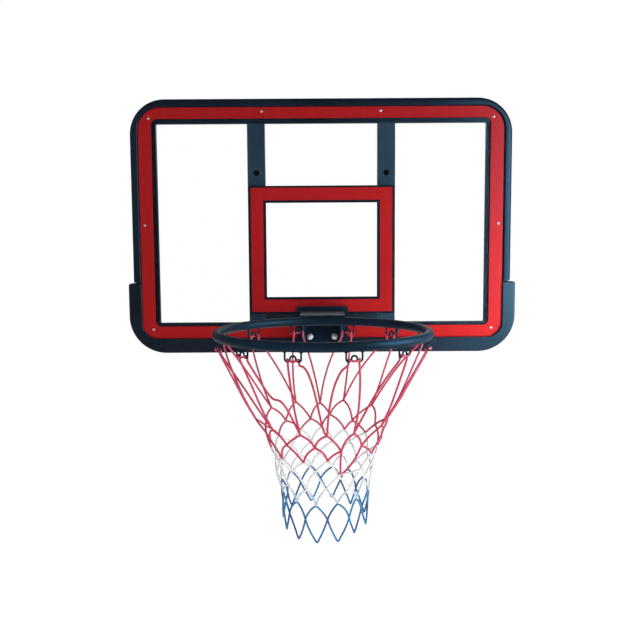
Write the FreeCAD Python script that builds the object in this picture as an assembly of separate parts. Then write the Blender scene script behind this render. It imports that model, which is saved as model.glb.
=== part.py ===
import FreeCAD, Part
import math
import os

# A wall-hung basketball backboard: a clear panel in a moulded frame, a steel sub-frame behind it,
# and a hooked ring with a knotted net in front. Sizes are in millimetres.
# Axes: X to the viewer's right, Y to the back, Z up.
# The origin is the centre of the four mounting bolts, on the back face of the uprights.

# Moulded frame
frame_width = 994.0
frame_height = 649.0
mount_drop = 330.0
frame_corner_radius = 90.0
frame_setback = 4.0
frame_wall = 3.0
rim_width = 20.0
rim_height = 5.0
rim_outer_round = 9.0
rim_inner_round = 4.0
rebate_top_radius = 60.0
rebate_bottom_radius = 45.0
ledge_thickness = 3.0
ledge_side = 47.0
ledge_top = 43.0
ledge_bottom = 46.0
lip_depth = 12.0
lip_thickness = 3.0
window_corner_radius = 3.0
rib_thickness = 2.5
side_rib_count = 6
end_rib_count = 3

# Clear panel and the print on its front
panel_thickness = 4.0
panel_clearance = 0.5
print_thickness = 0.3
stripe_margin = 1.0
stripe_side_width = 34.5
stripe_top_width = 29.1
stripe_bottom_width = 35.8
stripe_inner_radius = 15.0
target_width = 370.4
target_height = 325.8
target_stripe = 32.5
target_above_ring = 9.8
outline_outside = 5.0
outline_inside = 7.0

# Lower edge guard
guard_step = 6.5
guard_wall = 19.5
guard_height = 185.0
guard_gap = 2.5
guard_end_round = 5.0
guard_corner_radius = 97.0
guard_edge_round = 4.0
guard_flange_thickness = 5.5
guard_side_lap = 1.0
guard_bottom_lap = 5.5
guard_flange_radius = 41.0
guard_flange_round = 2.5
guard_back_flange = 3.0
guard_back_round = 2.4
guard_back_lap = 10.0
guard_clearance = 0.3

# Steel uprights and cross member
upright_spacing = 340.0
upright_width = 46.0
upright_depth = 25.0
upright_wall = 2.0
upright_end_clearance = 1.5
cross_member_rise = 47.0
cross_member_wall = 2.5
cross_member_setback = 3.0
notch_clearance = 1.0

# Mounting bolts
mount_bolt_spacing = 280.0
mount_bolt_diameter = 8.0
mount_bolt_reach = 30.0
mount_neck_diameter = 8.6
mount_head_diameter = 15.0
mount_head_height = 4.5
access_hole_clearance = 0.5

# Ring, bracket and hooks
ring_inner_diameter = 450.0
ring_tube_diameter = 21.0
ring_tube_wall = 1.5
weld_gap = 0.1
ring_gap = 155.0
ring_above_frame_bottom = 85.0
back_plate_width = 136.0
back_plate_thickness = 5.0
back_plate_above_ring = 24.0
back_plate_below_ring = 78.0
back_plate_corner_radius = 4.0
gasket_thickness = 3.0
top_plate_width = 112.0
top_plate_thickness = 5.5
top_plate_above_tube = 4.5
gusset_spacing = 96.0
gusset_thickness = 4.0
gusset_foot = 12.0
gusset_toe = 7.0
hook_count = 12
hook_wire_diameter = 4.0
hook_valley_radius = 5.5
hook_crest_radius = 6.0
hook_leg = 13.5

# Struts
strut_diameter = 8.0
strut_angle = 128.0
strut_foot_width = 22.0
strut_foot_height = 26.5
strut_foot_thickness = 4.0
strut_foot_round = 3.0
strut_foot_below_lap = 2.0
strut_foot_offset = 6.0
strut_rod_rise = 6.0

# Fasteners
bolt_clearance = 0.3
bolt_tip_chamfer = 0.8
ring_bolt_diameter = 8.0
ring_bolt_spacing_x = 65.0
ring_bolt_spacing_z = 43.0
ring_bolt_below_ring = 12.6
ring_bolt_head_diameter = 17.0
ring_bolt_head_height = 5.5
ring_washer_diameter = 16.0
ring_washer_thickness = 1.6
ring_nut_across_flats = 13.0
ring_nut_height = 6.5
ring_bolt_end = 3.5
strut_bolt_diameter = 6.0
strut_bolt_drop = 6.5
strut_bolt_head_across_flats = 10.0
strut_bolt_head_height = 4.0
strut_nut_height = 5.0
strut_bolt_end = 2.0
screw_diameter = 4.2
screw_reach = 17.0
screw_head_diameter = 7.0
screw_head_height = 2.2
screw_thread_clearance = 0.1
screw_boss_diameter = 12.0
screw_boss_height = 13.0
corner_screw_side_inset = 28.5
corner_screw_top_inset = 28.5
corner_screw_bottom_inset = 29.0
side_screw_inset = 12.5
top_screw_drop = 12.0
top_screw_inset = 16.0
bottom_screw_rise = 17.5
bottom_screw_spacing = 162.0

# Net
cord_width = 4.0
net_first_row = 200.0
net_row_pitches = [34.0, 32.0, 31.0, 32.0, 32.5, 37.5, 50.0]
net_bar_half = 11.0
net_hook_clearance = 0.3
net_red_end = 288.0
net_white_end = 343.0
# Drop below the ring, and radius as a share of the ring's
net_waist = [
    (100.0, 0.853),
    (160.0, 0.718),
    (215.0, 0.570),
    (285.0, 0.462),
    (355.0, 0.421),
    (470.0, 0.392),
]

# How far a cut runs past what it cuts: through a thin wall, and through anything else
wall_overrun = 1.0
past = 40.0

# Planes and places that follow from the sizes above
steel_front = -upright_depth
panel_back = steel_front - ledge_thickness
panel_front = panel_back - panel_thickness
print_front = panel_front - print_thickness
rim_front = panel_front - rim_height
frame_back = -frame_setback
gasket_front = print_front - gasket_thickness
plate_front = gasket_front - back_plate_thickness
flange_back = print_front - guard_clearance
flange_front = flange_back - guard_flange_thickness
foot_front = flange_front - strut_foot_thickness
guard_back = frame_back + guard_clearance + guard_back_flange

frame_half = frame_width / 2
frame_top = mount_drop
frame_bottom = frame_top - frame_height
rebate_half = frame_half - rim_width
rebate_top = frame_top - rim_width
rebate_bottom = frame_bottom + rim_width
window_half = rebate_half - ledge_side
window_top = rebate_top - ledge_top
window_bottom = rebate_bottom + ledge_bottom
panel_half = rebate_half - panel_clearance
panel_top = rebate_top - panel_clearance
panel_bottom = rebate_bottom + panel_clearance

seat_half = frame_half - guard_step
seat_bottom = frame_bottom + guard_step
seat_radius = frame_corner_radius - guard_step
guard_half = seat_half + guard_wall
guard_bottom = seat_bottom - guard_wall
guard_top = guard_bottom + guard_height
step_z = guard_top + guard_gap
flange_half = rebate_half - guard_side_lap
flange_bottom = rebate_bottom + guard_bottom_lap

upright_x = upright_spacing / 2
upright_inner = upright_x - upright_width / 2
upright_outer = upright_x + upright_width / 2
upright_top = frame_top - frame_wall - upright_end_clearance
upright_bottom = seat_bottom + frame_wall + upright_end_clearance

tube_radius = ring_tube_diameter / 2
ring_radius = ring_inner_diameter / 2 + tube_radius
ring_y = panel_front - ring_gap - ring_inner_diameter / 2
ring_z = frame_bottom + ring_above_frame_bottom
cross_member_top = ring_z + cross_member_rise
back_plate_top = ring_z + back_plate_above_ring
back_plate_bottom = ring_z - back_plate_below_ring
top_plate_top = ring_z + tube_radius + top_plate_above_tube
top_plate_bottom = top_plate_top - top_plate_thickness
target_bottom = ring_z + target_above_ring
target_top = target_bottom + target_height

ring_bolt_rows = [ring_z - ring_bolt_below_ring, ring_z - ring_bolt_below_ring - ring_bolt_spacing_z]
ring_bolt_places = [(side * ring_bolt_spacing_x / 2, z) for side in (-1, 1) for z in ring_bolt_rows]
foot_x = upright_x + strut_foot_offset
foot_top = flange_bottom - strut_foot_below_lap
foot_bottom = foot_top - strut_foot_height
strut_bolt_z = foot_top - strut_bolt_drop
strut_places = [(side * foot_x, strut_bolt_z) for side in (-1, 1)]

corner_x = panel_half - corner_screw_side_inset
boss_screw_places = [
    (side * x, z)
    for side in (-1, 1)
    for x, z in (
        (corner_x, panel_top - corner_screw_top_inset),
        (panel_half - side_screw_inset, (panel_top + panel_bottom) / 2),
        (corner_x, panel_bottom + corner_screw_bottom_inset),
    )
]
top_screw_places = [(side * (upright_x - top_screw_inset), panel_top - top_screw_drop) for side in (-1, 1)]
bottom_screw_z = panel_bottom + bottom_screw_rise
bottom_screw_places = [(side * bottom_screw_spacing / 2, bottom_screw_z) for side in (-1, 1)]
screw_places = boss_screw_places + top_screw_places + bottom_screw_places

hook_angles = [360.0 / hook_count * (index + 0.5) for index in range(hook_count)]
hook_low = tube_radius + hook_leg + hook_valley_radius
net_top = hook_low + hook_wire_diameter / 2 + net_hook_clearance
net_profile = [(0.0, ring_radius), (net_top + cord_width, ring_radius)]
net_profile += [(drop, share * ring_radius) for drop, share in net_waist]
net_rows = [net_first_row + sum(net_row_pitches[:row]) for row in range(len(net_row_pitches) + 1)]


def unit(x, y):
    length = math.hypot(x, y)
    return x / length, y / length


def rounded_outline(corners, to_point):
    """Closed wire through corners (a, b, radius); to_point turns a pair (a, b) into a vector."""
    joints = []
    count = len(corners)
    for index, (a, b, radius) in enumerate(corners):
        before = corners[index - 1]
        after = corners[(index + 1) % count]
        ua, ub = unit(before[0] - a, before[1] - b)
        va, vb = unit(after[0] - a, after[1] - b)
        half = math.acos(max(-1.0, min(1.0, ua * va + ub * vb))) / 2
        if radius <= 0:
            joints.append(((a, b), None, (a, b)))
            continue
        cut = radius / math.tan(half)
        ma, mb = unit(ua + va, ub + vb)
        reach = radius / math.sin(half) - radius
        joints.append((
            (a + ua * cut, b + ub * cut),
            (a + ma * reach, b + mb * reach),
            (a + va * cut, b + vb * cut),
        ))
    edges = []
    for index, (start, middle, end) in enumerate(joints):
        if middle:
            edges.append(Part.Arc(to_point(*start), to_point(*middle), to_point(*end)).toShape())
        following = joints[(index + 1) % count][0]
        if math.dist(end, following) > 1e-6:
            edges.append(Part.LineSegment(to_point(*end), to_point(*following)).toShape())
    return Part.Wire(edges)


def slab(corners, y_from, y_to):
    """Solid with an outline in X and Z, from one depth to another."""
    wire = rounded_outline(corners, lambda x, z: FreeCAD.Vector(x, y_from, z))
    return Part.Face(wire).extrude(FreeCAD.Vector(0, y_to - y_from, 0))


def side_slab(corners, x_from, x_to):
    """Solid with an outline in Y and Z, from one X to another."""
    wire = rounded_outline(corners, lambda y, z: FreeCAD.Vector(x_from, y, z))
    return Part.Face(wire).extrude(FreeCAD.Vector(x_to - x_from, 0, 0))


def block(x_from, x_to, y_from, y_to, z_from, z_to):
    corner = FreeCAD.Vector(x_from, y_from, z_from)
    return Part.makeBox(x_to - x_from, y_to - y_from, z_to - z_from, corner)


def rod(radius, x, z, y_from, y_to):
    """Round bar along Y."""
    return Part.makeCylinder(radius, y_to - y_from, FreeCAD.Vector(x, y_from, z), FreeCAD.Vector(0, 1, 0))


def rectangle(half, top, bottom, top_radius=0.0, bottom_radius=0.0):
    """Corners of a rectangle that is centred on X = 0."""
    return [
        (-half, top, top_radius),
        (half, top, top_radius),
        (half, bottom, bottom_radius),
        (-half, bottom, bottom_radius),
    ]


def bored(shape, places, radius, y_from, y_to):
    """Shape with a round hole along Y at each place."""
    return shape.cut([rod(radius, x, z, y_from, y_to) for x, z in places])


def hexagon_bar(across_flats, x, z, y_from, y_to):
    corner = across_flats / math.sqrt(3)
    points = [
        (x + corner * math.sin(math.radians(60 * step)), z + corner * math.cos(math.radians(60 * step)), 0)
        for step in range(6)
    ]
    return slab(points, y_from, y_to)


def domed_bolt(x, z, head_diameter, head_height, shank_diameter, y_seat, y_end, neck=None):
    """Bolt along Y, turned as one piece: a domed head in front of its seat and a chamfered tip.

    A neck is a pair: its diameter, and the depth where it ends.
    """
    head = head_diameter / 2
    shank = shank_diameter / 2
    neck_diameter, y_neck = neck or (shank_diameter, y_seat)
    ball = (head * head + head_height * head_height) / (2 * head_height)
    half_turn = math.asin(head / ball) / 2

    def place(radius, y):
        return FreeCAD.Vector(x + radius, y, z)

    apex = place(0, y_seat - head_height)
    middle = place(ball * math.sin(half_turn), apex.y + ball - ball * math.cos(half_turn))
    collar = [place(neck_diameter / 2, y_seat), place(neck_diameter / 2, y_neck)] if neck else []
    outline = [
        place(head, y_seat),
        *collar,
        place(shank, y_neck),
        place(shank, y_end - bolt_tip_chamfer),
        place(shank - bolt_tip_chamfer, y_end),
        place(0, y_end),
        apex,
    ]
    edges = [Part.Arc(apex, middle, outline[0]).toShape()]
    edges += [Part.LineSegment(start, end).toShape() for start, end in zip(outline, outline[1:])]
    section = Part.Face(Part.Wire(edges))
    return section.revolve(FreeCAD.Vector(x, 0, z), FreeCAD.Vector(0, 1, 0), 360)


def edges_at(shape, depth, half=math.inf, top=math.inf, bottom=-math.inf):
    """Edges of a shape at one depth, inside a half width and between two heights."""
    slack = 0.01
    found = []
    for edge in shape.Edges:
        box = edge.BoundBox
        level = abs(box.YMin - depth) < slack and abs(box.YMax - depth) < slack
        narrow = max(-box.XMin, box.XMax) < half + slack
        if level and narrow and box.ZMax < top + slack and box.ZMin > bottom - slack:
            found.append(edge)
    return found


def ring_tube(radius):
    """Ring about its own upright axis, with the given tube radius."""
    centre = FreeCAD.Vector(0, ring_y, ring_z)
    return Part.makeTorus(ring_radius, radius, centre, FreeCAD.Vector(0, 0, 1))


def inside_ring():
    """Everything nearer to the ring's axis than the middle of its tube."""
    base = FreeCAD.Vector(0, ring_y, ring_z - past)
    return Part.makeCylinder(ring_radius, 2 * past, base)


def seat_outline(grow, top):
    """Outline of the frame's lower part, where the guard sits, grown on all sides and open to a given top."""
    return rectangle(seat_half + grow, top, seat_bottom - grow, 0, seat_radius + grow)


def cavity_outline():
    """Inside of the frame's outer wall, with the step where the guard starts."""
    wide = frame_half - frame_wall
    narrow = seat_half - frame_wall
    top = frame_top - frame_wall
    bottom = seat_bottom + frame_wall
    step = step_z + frame_wall
    top_radius = frame_corner_radius - frame_wall
    bottom_radius = seat_radius - frame_wall
    return [
        (-wide, top, top_radius),
        (wide, top, top_radius),
        (wide, step, 0),
        (narrow, step, 0),
        (narrow, bottom, bottom_radius),
        (-narrow, bottom, bottom_radius),
        (-narrow, step, 0),
        (-wide, step, 0),
    ]


def guard_recess():
    """Everything outside the frame's lower part, with the rounded ends of the full-width sides."""
    far = frame_half + past
    low = frame_bottom - past
    start = step_z + guard_end_round
    return [
        (far, start, 0),
        (frame_half, start, 0),
        (frame_half, step_z, guard_end_round),
        (seat_half, step_z, 0),
        (seat_half, seat_bottom, seat_radius),
        (-seat_half, seat_bottom, seat_radius),
        (-seat_half, step_z, 0),
        (-frame_half, step_z, guard_end_round),
        (-frame_half, start, 0),
        (-far, start, 0),
        (-far, low, 0),
        (far, low, 0),
    ]


def frame_ribs():
    """Cross ribs in the open back of the frame, clear of the steel."""
    ribs = []
    lip_half = window_half + lip_thickness
    wall_half = seat_half - frame_wall
    back = -lip_depth
    for index in range(side_rib_count):
        z = window_bottom + (window_top - window_bottom) * (index + 0.5) / side_rib_count
        low = z - rib_thickness / 2
        for side in (-1, 1):
            ends = sorted((side * lip_half, side * (wall_half + frame_wall / 2)))
            ribs.append(block(ends[0], ends[1], steel_front, back, low, low + rib_thickness))
    bay = window_half - upright_outer
    for index in range(end_rib_count):
        x = upright_outer + bay * (index + 0.5) / end_rib_count
        for side in (-1, 1):
            left = side * x - rib_thickness / 2
            right = left + rib_thickness
            top = frame_top - frame_wall / 2
            bottom = seat_bottom + frame_wall / 2
            ribs.append(block(left, right, steel_front, back, window_top + lip_thickness, top))
            ribs.append(block(left, right, steel_front, back, bottom, window_bottom - lip_thickness))
    return ribs


def make_frame():
    shape = slab(
        rectangle(frame_half, frame_top, frame_bottom, frame_corner_radius, frame_corner_radius),
        rim_front, frame_back,
    )
    shape = shape.makeFillet(rim_outer_round, edges_at(shape, rim_front))
    rebate = rectangle(rebate_half, rebate_top, rebate_bottom, rebate_top_radius, rebate_bottom_radius)
    shape = shape.cut(slab(rebate, rim_front - past, panel_back))
    inner_edges = edges_at(shape, rim_front, rebate_half, rebate_top, rebate_bottom)
    shape = shape.makeFillet(rim_inner_round, inner_edges)
    shape = shape.cut(slab(guard_recess(), rim_front - past, frame_back + past))
    shape = shape.cut(block(
        -frame_half - past, frame_half + past, rim_front - past, panel_front, frame_bottom - past, step_z,
    ))
    window = rectangle(window_half, window_top, window_bottom, window_corner_radius, window_corner_radius)
    shape = shape.cut(slab(window, rim_front - past, frame_back + past))
    lip = rectangle(
        window_half + lip_thickness, window_top + lip_thickness, window_bottom - lip_thickness,
        window_corner_radius + lip_thickness, window_corner_radius + lip_thickness,
    )
    cavity = slab(cavity_outline(), steel_front, frame_back + past)
    cavity = cavity.cut(slab(lip, steel_front, -lip_depth))
    shape = shape.cut(cavity)
    rim_hollow = slab(cavity_outline(), rim_front + frame_wall, steel_front)
    rim_hollow = rim_hollow.cut(slab(
        rectangle(
            rebate_half + frame_wall, rebate_top + frame_wall, rebate_bottom - frame_wall,
            rebate_top_radius + frame_wall, rebate_bottom_radius + frame_wall,
        ),
        rim_front, steel_front,
    ))
    above_guard = block(
        -frame_half, frame_half, rim_front, steel_front, step_z + 2 * frame_wall, frame_top,
    )
    shape = shape.cut(rim_hollow.common(above_guard))
    bosses = [
        rod(screw_boss_diameter / 2, x, z, steel_front, steel_front + screw_boss_height)
        for x, z in boss_screw_places
    ]
    shape = shape.fuse(frame_ribs() + bosses)
    notch = upright_width / 2 + notch_clearance
    for side in (-1, 1):
        centre = side * upright_x
        shape = shape.cut(block(
            centre - notch, centre + notch, steel_front, past,
            window_top - past, upright_top + notch_clearance,
        ))
    wide = upright_outer + notch_clearance
    shape = shape.cut(block(
        -wide, wide, steel_front, past, upright_bottom - notch_clearance, window_bottom + past,
    ))
    thread = screw_diameter / 2 + screw_thread_clearance
    shape = bored(shape, screw_places, thread, panel_back, past)
    shape = bored(shape, ring_bolt_places, ring_bolt_diameter / 2 + bolt_clearance, rim_front, past)
    shape = bored(shape, strut_places, strut_bolt_diameter / 2 + bolt_clearance, rim_front, steel_front)
    return shape.removeSplitter()


def make_panel():
    outline = rectangle(
        panel_half, panel_top, panel_bottom,
        rebate_top_radius - panel_clearance, rebate_bottom_radius - panel_clearance,
    )
    shape = slab(outline, panel_front, panel_back)
    shape = bored(shape, screw_places, screw_diameter / 2 + bolt_clearance, panel_front, panel_back)
    return bored(shape, ring_bolt_places, ring_bolt_diameter / 2 + bolt_clearance, panel_front, panel_back)


def printed(outer, inner):
    """Thin printed band on the panel's front between two outlines."""
    band = slab(outer, print_front, panel_front).cut(slab(inner, print_front, panel_front))
    band = bored(band, screw_places, screw_diameter / 2 + bolt_clearance, print_front, panel_front)
    return bored(band, ring_bolt_places, ring_bolt_diameter / 2 + bolt_clearance, print_front, panel_front)


def make_border_stripe():
    edge = panel_clearance + stripe_margin
    half = panel_half - stripe_margin
    top = panel_top - stripe_margin
    bottom = panel_bottom + stripe_margin
    outer = rectangle(half, top, bottom, rebate_top_radius - edge, rebate_bottom_radius - edge)
    inner = rectangle(
        half - stripe_side_width, top - stripe_top_width, bottom + stripe_bottom_width,
        stripe_inner_radius, stripe_inner_radius,
    )
    return printed(outer, inner)


def target_rectangle(grow):
    """Outline of the target, grown outwards on all sides."""
    return rectangle(target_width / 2 + grow, target_top + grow, target_bottom - grow)


def make_target_stripe():
    return printed(target_rectangle(0), target_rectangle(-target_stripe))


def make_target_outline():
    outside = printed(target_rectangle(outline_outside), target_rectangle(0))
    inside = printed(target_rectangle(-target_stripe), target_rectangle(-target_stripe - outline_inside))
    return Part.makeCompound([outside, inside])


def make_edge_guard():
    above = guard_top + past
    shape = slab(
        [
            (-guard_half, guard_top, guard_end_round),
            (guard_half, guard_top, guard_end_round),
            (guard_half, guard_bottom, guard_corner_radius),
            (-guard_half, guard_bottom, guard_corner_radius),
        ],
        flange_front, guard_back,
    )
    shape = shape.makeFillet(guard_edge_round, edges_at(shape, flange_front))
    shape = shape.makeFillet(guard_back_round, edges_at(shape, guard_back))
    shape = shape.cut(slab(
        seat_outline(guard_clearance, above), flange_back, frame_back + guard_clearance,
    ))
    shape = shape.cut(slab(
        rectangle(flange_half, above, flange_bottom, 0, guard_flange_radius),
        flange_front - past, flange_back,
    ))
    inner_edges = edges_at(shape, flange_front, flange_half, above, flange_bottom)
    shape = shape.makeFillet(guard_flange_round, inner_edges)
    shape = shape.cut(slab(
        seat_outline(-guard_back_lap, above), frame_back, past,
    ))
    steel_half = upright_outer + notch_clearance
    shape = shape.cut(block(
        -steel_half, steel_half, frame_back, past, upright_bottom - notch_clearance, above,
    ))
    plate_gap = back_plate_width / 2 + notch_clearance
    shape = shape.cut(block(
        -plate_gap, plate_gap, flange_front - past, flange_back,
        back_plate_bottom - notch_clearance, above,
    ))
    return bored(shape, strut_places, strut_bolt_diameter / 2 + bolt_clearance, flange_front, flange_back)


def make_upright(side):
    centre = side * upright_x
    half = upright_width / 2
    shape = block(centre - half, centre + half, steel_front, 0, upright_bottom, upright_top)
    shape = shape.cut(block(
        centre - half + upright_wall, centre + half - upright_wall,
        steel_front + upright_wall, -upright_wall, upright_bottom - wall_overrun, upright_top + wall_overrun,
    ))
    bolts = [(centre, sign * mount_bolt_spacing / 2) for sign in (-1, 1)]
    access = mount_head_diameter / 2 + access_hole_clearance
    front = (steel_front - wall_overrun, steel_front + upright_wall + wall_overrun)
    shape = bored(shape, bolts, access, *front)
    neck = mount_neck_diameter / 2 + bolt_clearance
    shape = bored(shape, bolts, neck, -upright_wall - wall_overrun, wall_overrun)
    thread = screw_diameter / 2 + screw_thread_clearance
    shape = bored(shape, [place for place in top_screw_places if place[0] * side > 0], thread, *front)
    strut = [place for place in strut_places if place[0] * side > 0]
    return bored(shape, strut, strut_bolt_diameter / 2 + bolt_clearance, *front)


def make_cross_member():
    back = -cross_member_setback
    shape = block(-upright_inner, upright_inner, steel_front, back, upright_bottom, cross_member_top)
    shape = shape.cut(block(
        -upright_inner - wall_overrun, upright_inner + wall_overrun,
        steel_front + cross_member_wall, back + wall_overrun,
        upright_bottom + cross_member_wall, cross_member_top - cross_member_wall,
    ))
    shape = bored(shape, ring_bolt_places, ring_bolt_diameter / 2 + bolt_clearance, steel_front, back)
    thread = screw_diameter / 2 + screw_thread_clearance
    return bored(shape, bottom_screw_places, thread, steel_front, back)


def make_backing_pad():
    shape = slab(
        rectangle(back_plate_width / 2, back_plate_top, window_bottom + panel_clearance),
        panel_back, steel_front,
    )
    return bored(shape, ring_bolt_places, ring_bolt_diameter / 2 + bolt_clearance, panel_back, steel_front)


def back_plate_slab(front, back):
    """Outline of the ring's back plate between two depths, with its bolt holes."""
    outline = rectangle(
        back_plate_width / 2, back_plate_top, back_plate_bottom,
        back_plate_corner_radius, back_plate_corner_radius,
    )
    hole = ring_bolt_diameter / 2 + bolt_clearance
    return bored(slab(outline, front, back), ring_bolt_places, hole, front, back)


def make_top_plate():
    shape = block(
        -top_plate_width / 2, top_plate_width / 2, ring_y, plate_front, top_plate_bottom, top_plate_top,
    )
    return shape.cut(inside_ring()).cut(ring_tube(tube_radius + weld_gap))


def make_gusset(side):
    centre = side * gusset_spacing / 2
    heel = back_plate_bottom + gusset_toe
    tip = ring_z - tube_radius / 2
    corners = [
        (plate_front, top_plate_bottom, 0),
        (ring_y, top_plate_bottom, 0),
        (ring_y, tip, 0),
        (ring_y + ring_radius, tip, 0),
        (plate_front - gusset_foot, heel, 0),
        (plate_front, heel, 0),
    ]
    shape = side_slab(corners, centre - gusset_thickness / 2, centre + gusset_thickness / 2)
    return shape.cut(inside_ring()).cut(ring_tube(tube_radius + weld_gap))


def make_ring():
    return ring_tube(tube_radius).cut(ring_tube(tube_radius - ring_tube_wall))


def make_hook(angle):
    """One W of bent wire that hangs from the underside of the ring."""
    turn = math.radians(angle)
    outward = FreeCAD.Vector(math.sin(turn), -math.cos(turn), 0)
    along = FreeCAD.Vector(math.cos(turn), math.sin(turn), 0)
    centre = FreeCAD.Vector(0, ring_y, ring_z) + outward * ring_radius

    def place(across, drop):
        return centre + along * across - FreeCAD.Vector(0, 0, drop)

    crest = hook_crest_radius
    valley = hook_valley_radius
    leg_x = crest + 2 * valley
    turn_drop = tube_radius + hook_leg
    start_drop = tube_radius / 2
    path = [
        Part.LineSegment(place(-leg_x, start_drop), place(-leg_x, turn_drop)),
        Part.Arc(
            place(-leg_x, turn_drop), place(-crest - valley, turn_drop + valley), place(-crest, turn_drop),
        ),
        Part.Arc(place(-crest, turn_drop), place(0, turn_drop - crest), place(crest, turn_drop)),
        Part.Arc(place(crest, turn_drop), place(crest + valley, turn_drop + valley), place(leg_x, turn_drop)),
        Part.LineSegment(place(leg_x, turn_drop), place(leg_x, start_drop)),
    ]
    wire = Part.Wire([piece.toShape() for piece in path])
    section = Part.Wire([
        Part.makeCircle(hook_wire_diameter / 2, place(-leg_x, start_drop), FreeCAD.Vector(0, 0, -1)),
    ])
    return wire.makePipeShell([section], True, False).cut(ring_tube(tube_radius + weld_gap))


def make_strut(side):
    """Round bar from the ring's underside to a flattened foot on the lower edge."""
    foot = slab(
        [
            (side * foot_x - strut_foot_width / 2, foot_top, strut_foot_round),
            (side * foot_x + strut_foot_width / 2, foot_top, strut_foot_round),
            (side * foot_x + strut_foot_width / 2, foot_bottom, strut_foot_round),
            (side * foot_x - strut_foot_width / 2, foot_bottom, strut_foot_round),
        ],
        foot_front, flange_front,
    )
    hole = strut_bolt_diameter / 2 + bolt_clearance
    foot = bored(foot, [(side * foot_x, strut_bolt_z)], hole, foot_front, flange_front)
    turn = math.radians(strut_angle)
    start = FreeCAD.Vector(side * ring_radius * math.sin(turn), ring_y - ring_radius * math.cos(turn), ring_z)
    end = FreeCAD.Vector(side * foot_x, foot_front + strut_foot_thickness / 2, foot_bottom + strut_rod_rise)
    line = end - start
    bar = Part.makeCylinder(strut_diameter / 2, line.Length, start, line)
    past_foot = block(-frame_half, frame_half, flange_front, past, foot_bottom - past, foot_top)
    bar = bar.cut(past_foot).cut(ring_tube(tube_radius + weld_gap))
    return foot.fuse(bar).removeSplitter()


def make_ring_bolts():
    end = steel_front + cross_member_wall + ring_washer_thickness + ring_nut_height + ring_bolt_end
    return Part.makeCompound([
        domed_bolt(
            x, z, ring_bolt_head_diameter, ring_bolt_head_height, ring_bolt_diameter, plate_front, end,
        )
        for x, z in ring_bolt_places
    ])


def make_ring_washers():
    seat = steel_front + cross_member_wall
    face = seat + ring_washer_thickness
    hole = ring_bolt_diameter / 2 + bolt_clearance
    return Part.makeCompound([
        rod(ring_washer_diameter / 2, x, z, seat, face).cut(rod(hole, x, z, seat, face))
        for x, z in ring_bolt_places
    ])


def make_ring_nuts():
    seat = steel_front + cross_member_wall + ring_washer_thickness
    face = seat + ring_nut_height
    hole = ring_bolt_diameter / 2 + screw_thread_clearance
    return Part.makeCompound([
        hexagon_bar(ring_nut_across_flats, x, z, seat, face).cut(rod(hole, x, z, seat, face))
        for x, z in ring_bolt_places
    ])


def make_strut_bolts():
    end = steel_front + upright_wall + strut_nut_height + strut_bolt_end
    bolts = []
    for x, z in strut_places:
        head = hexagon_bar(
            strut_bolt_head_across_flats, x, z, foot_front - strut_bolt_head_height, foot_front,
        )
        bolts.append(head.fuse(rod(strut_bolt_diameter / 2, x, z, foot_front, end)))
    return Part.makeCompound(bolts)


def make_strut_nuts():
    seat = steel_front + upright_wall
    face = seat + strut_nut_height
    hole = strut_bolt_diameter / 2 + screw_thread_clearance
    return Part.makeCompound([
        hexagon_bar(strut_bolt_head_across_flats, x, z, seat, face).cut(rod(hole, x, z, seat, face))
        for x, z in strut_places
    ])


def make_panel_screws():
    end = print_front + screw_reach
    return Part.makeCompound([
        domed_bolt(x, z, screw_head_diameter, screw_head_height, screw_diameter, print_front, end)
        for x, z in screw_places
    ])


def make_mount_bolts():
    places = [
        (side * upright_x, sign * mount_bolt_spacing / 2)
        for side in (-1, 1)
        for sign in (-1, 1)
    ]
    return Part.makeCompound([
        domed_bolt(
            x, z, mount_head_diameter, mount_head_height, mount_bolt_diameter,
            -upright_wall, mount_bolt_reach, (mount_neck_diameter, 0.0),
        )
        for x, z in places
    ])


def net_radius(drop):
    """Radius of the hanging net at a drop below the ring."""
    for (drop_a, radius_a), (drop_b, radius_b) in zip(net_profile, net_profile[1:]):
        if drop <= drop_b:
            return radius_a + (radius_b - radius_a) * (drop - drop_a) / (drop_b - drop_a)
    return net_profile[-1][1]


def inset(corners, distance):
    """Convex outline, listed clockwise, moved inwards on every side."""
    sides = []
    for (a, b), (c, d) in zip(corners, corners[1:] + corners[:1]):
        ua, ub = unit(c - a, d - b)
        sides.append((a + ub * distance, b - ua * distance, ua, ub))
    moved = []
    for (a, b, ua, ub), (c, d, va, vb) in zip(sides[-1:] + sides[:-1], sides):
        reach = ((c - a) * vb - (d - b) * va) / (ua * vb - ub * va)
        moved.append((a + ua * reach, b + ub * reach))
    return moved


def net_gap(angle, corners):
    """Radial cutter for one gap of the net; corners are (across, drop) on the cords' centre lines."""
    turn = math.radians(angle)
    outward = FreeCAD.Vector(math.sin(turn), -math.cos(turn), 0)
    along = FreeCAD.Vector(math.cos(turn), math.sin(turn), 0)
    start = FreeCAD.Vector(0, ring_y, ring_z) + outward * (net_profile[-1][1] / 2)
    shrunk = [(a, b, 0) for a, b in inset([(a, -drop) for a, drop in corners], cord_width / 2)]
    wire = rounded_outline(shrunk, lambda a, b: start + along * a + FreeCAD.Vector(0, 0, b))
    return Part.Face(wire).extrude(outward * ring_radius)


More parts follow.
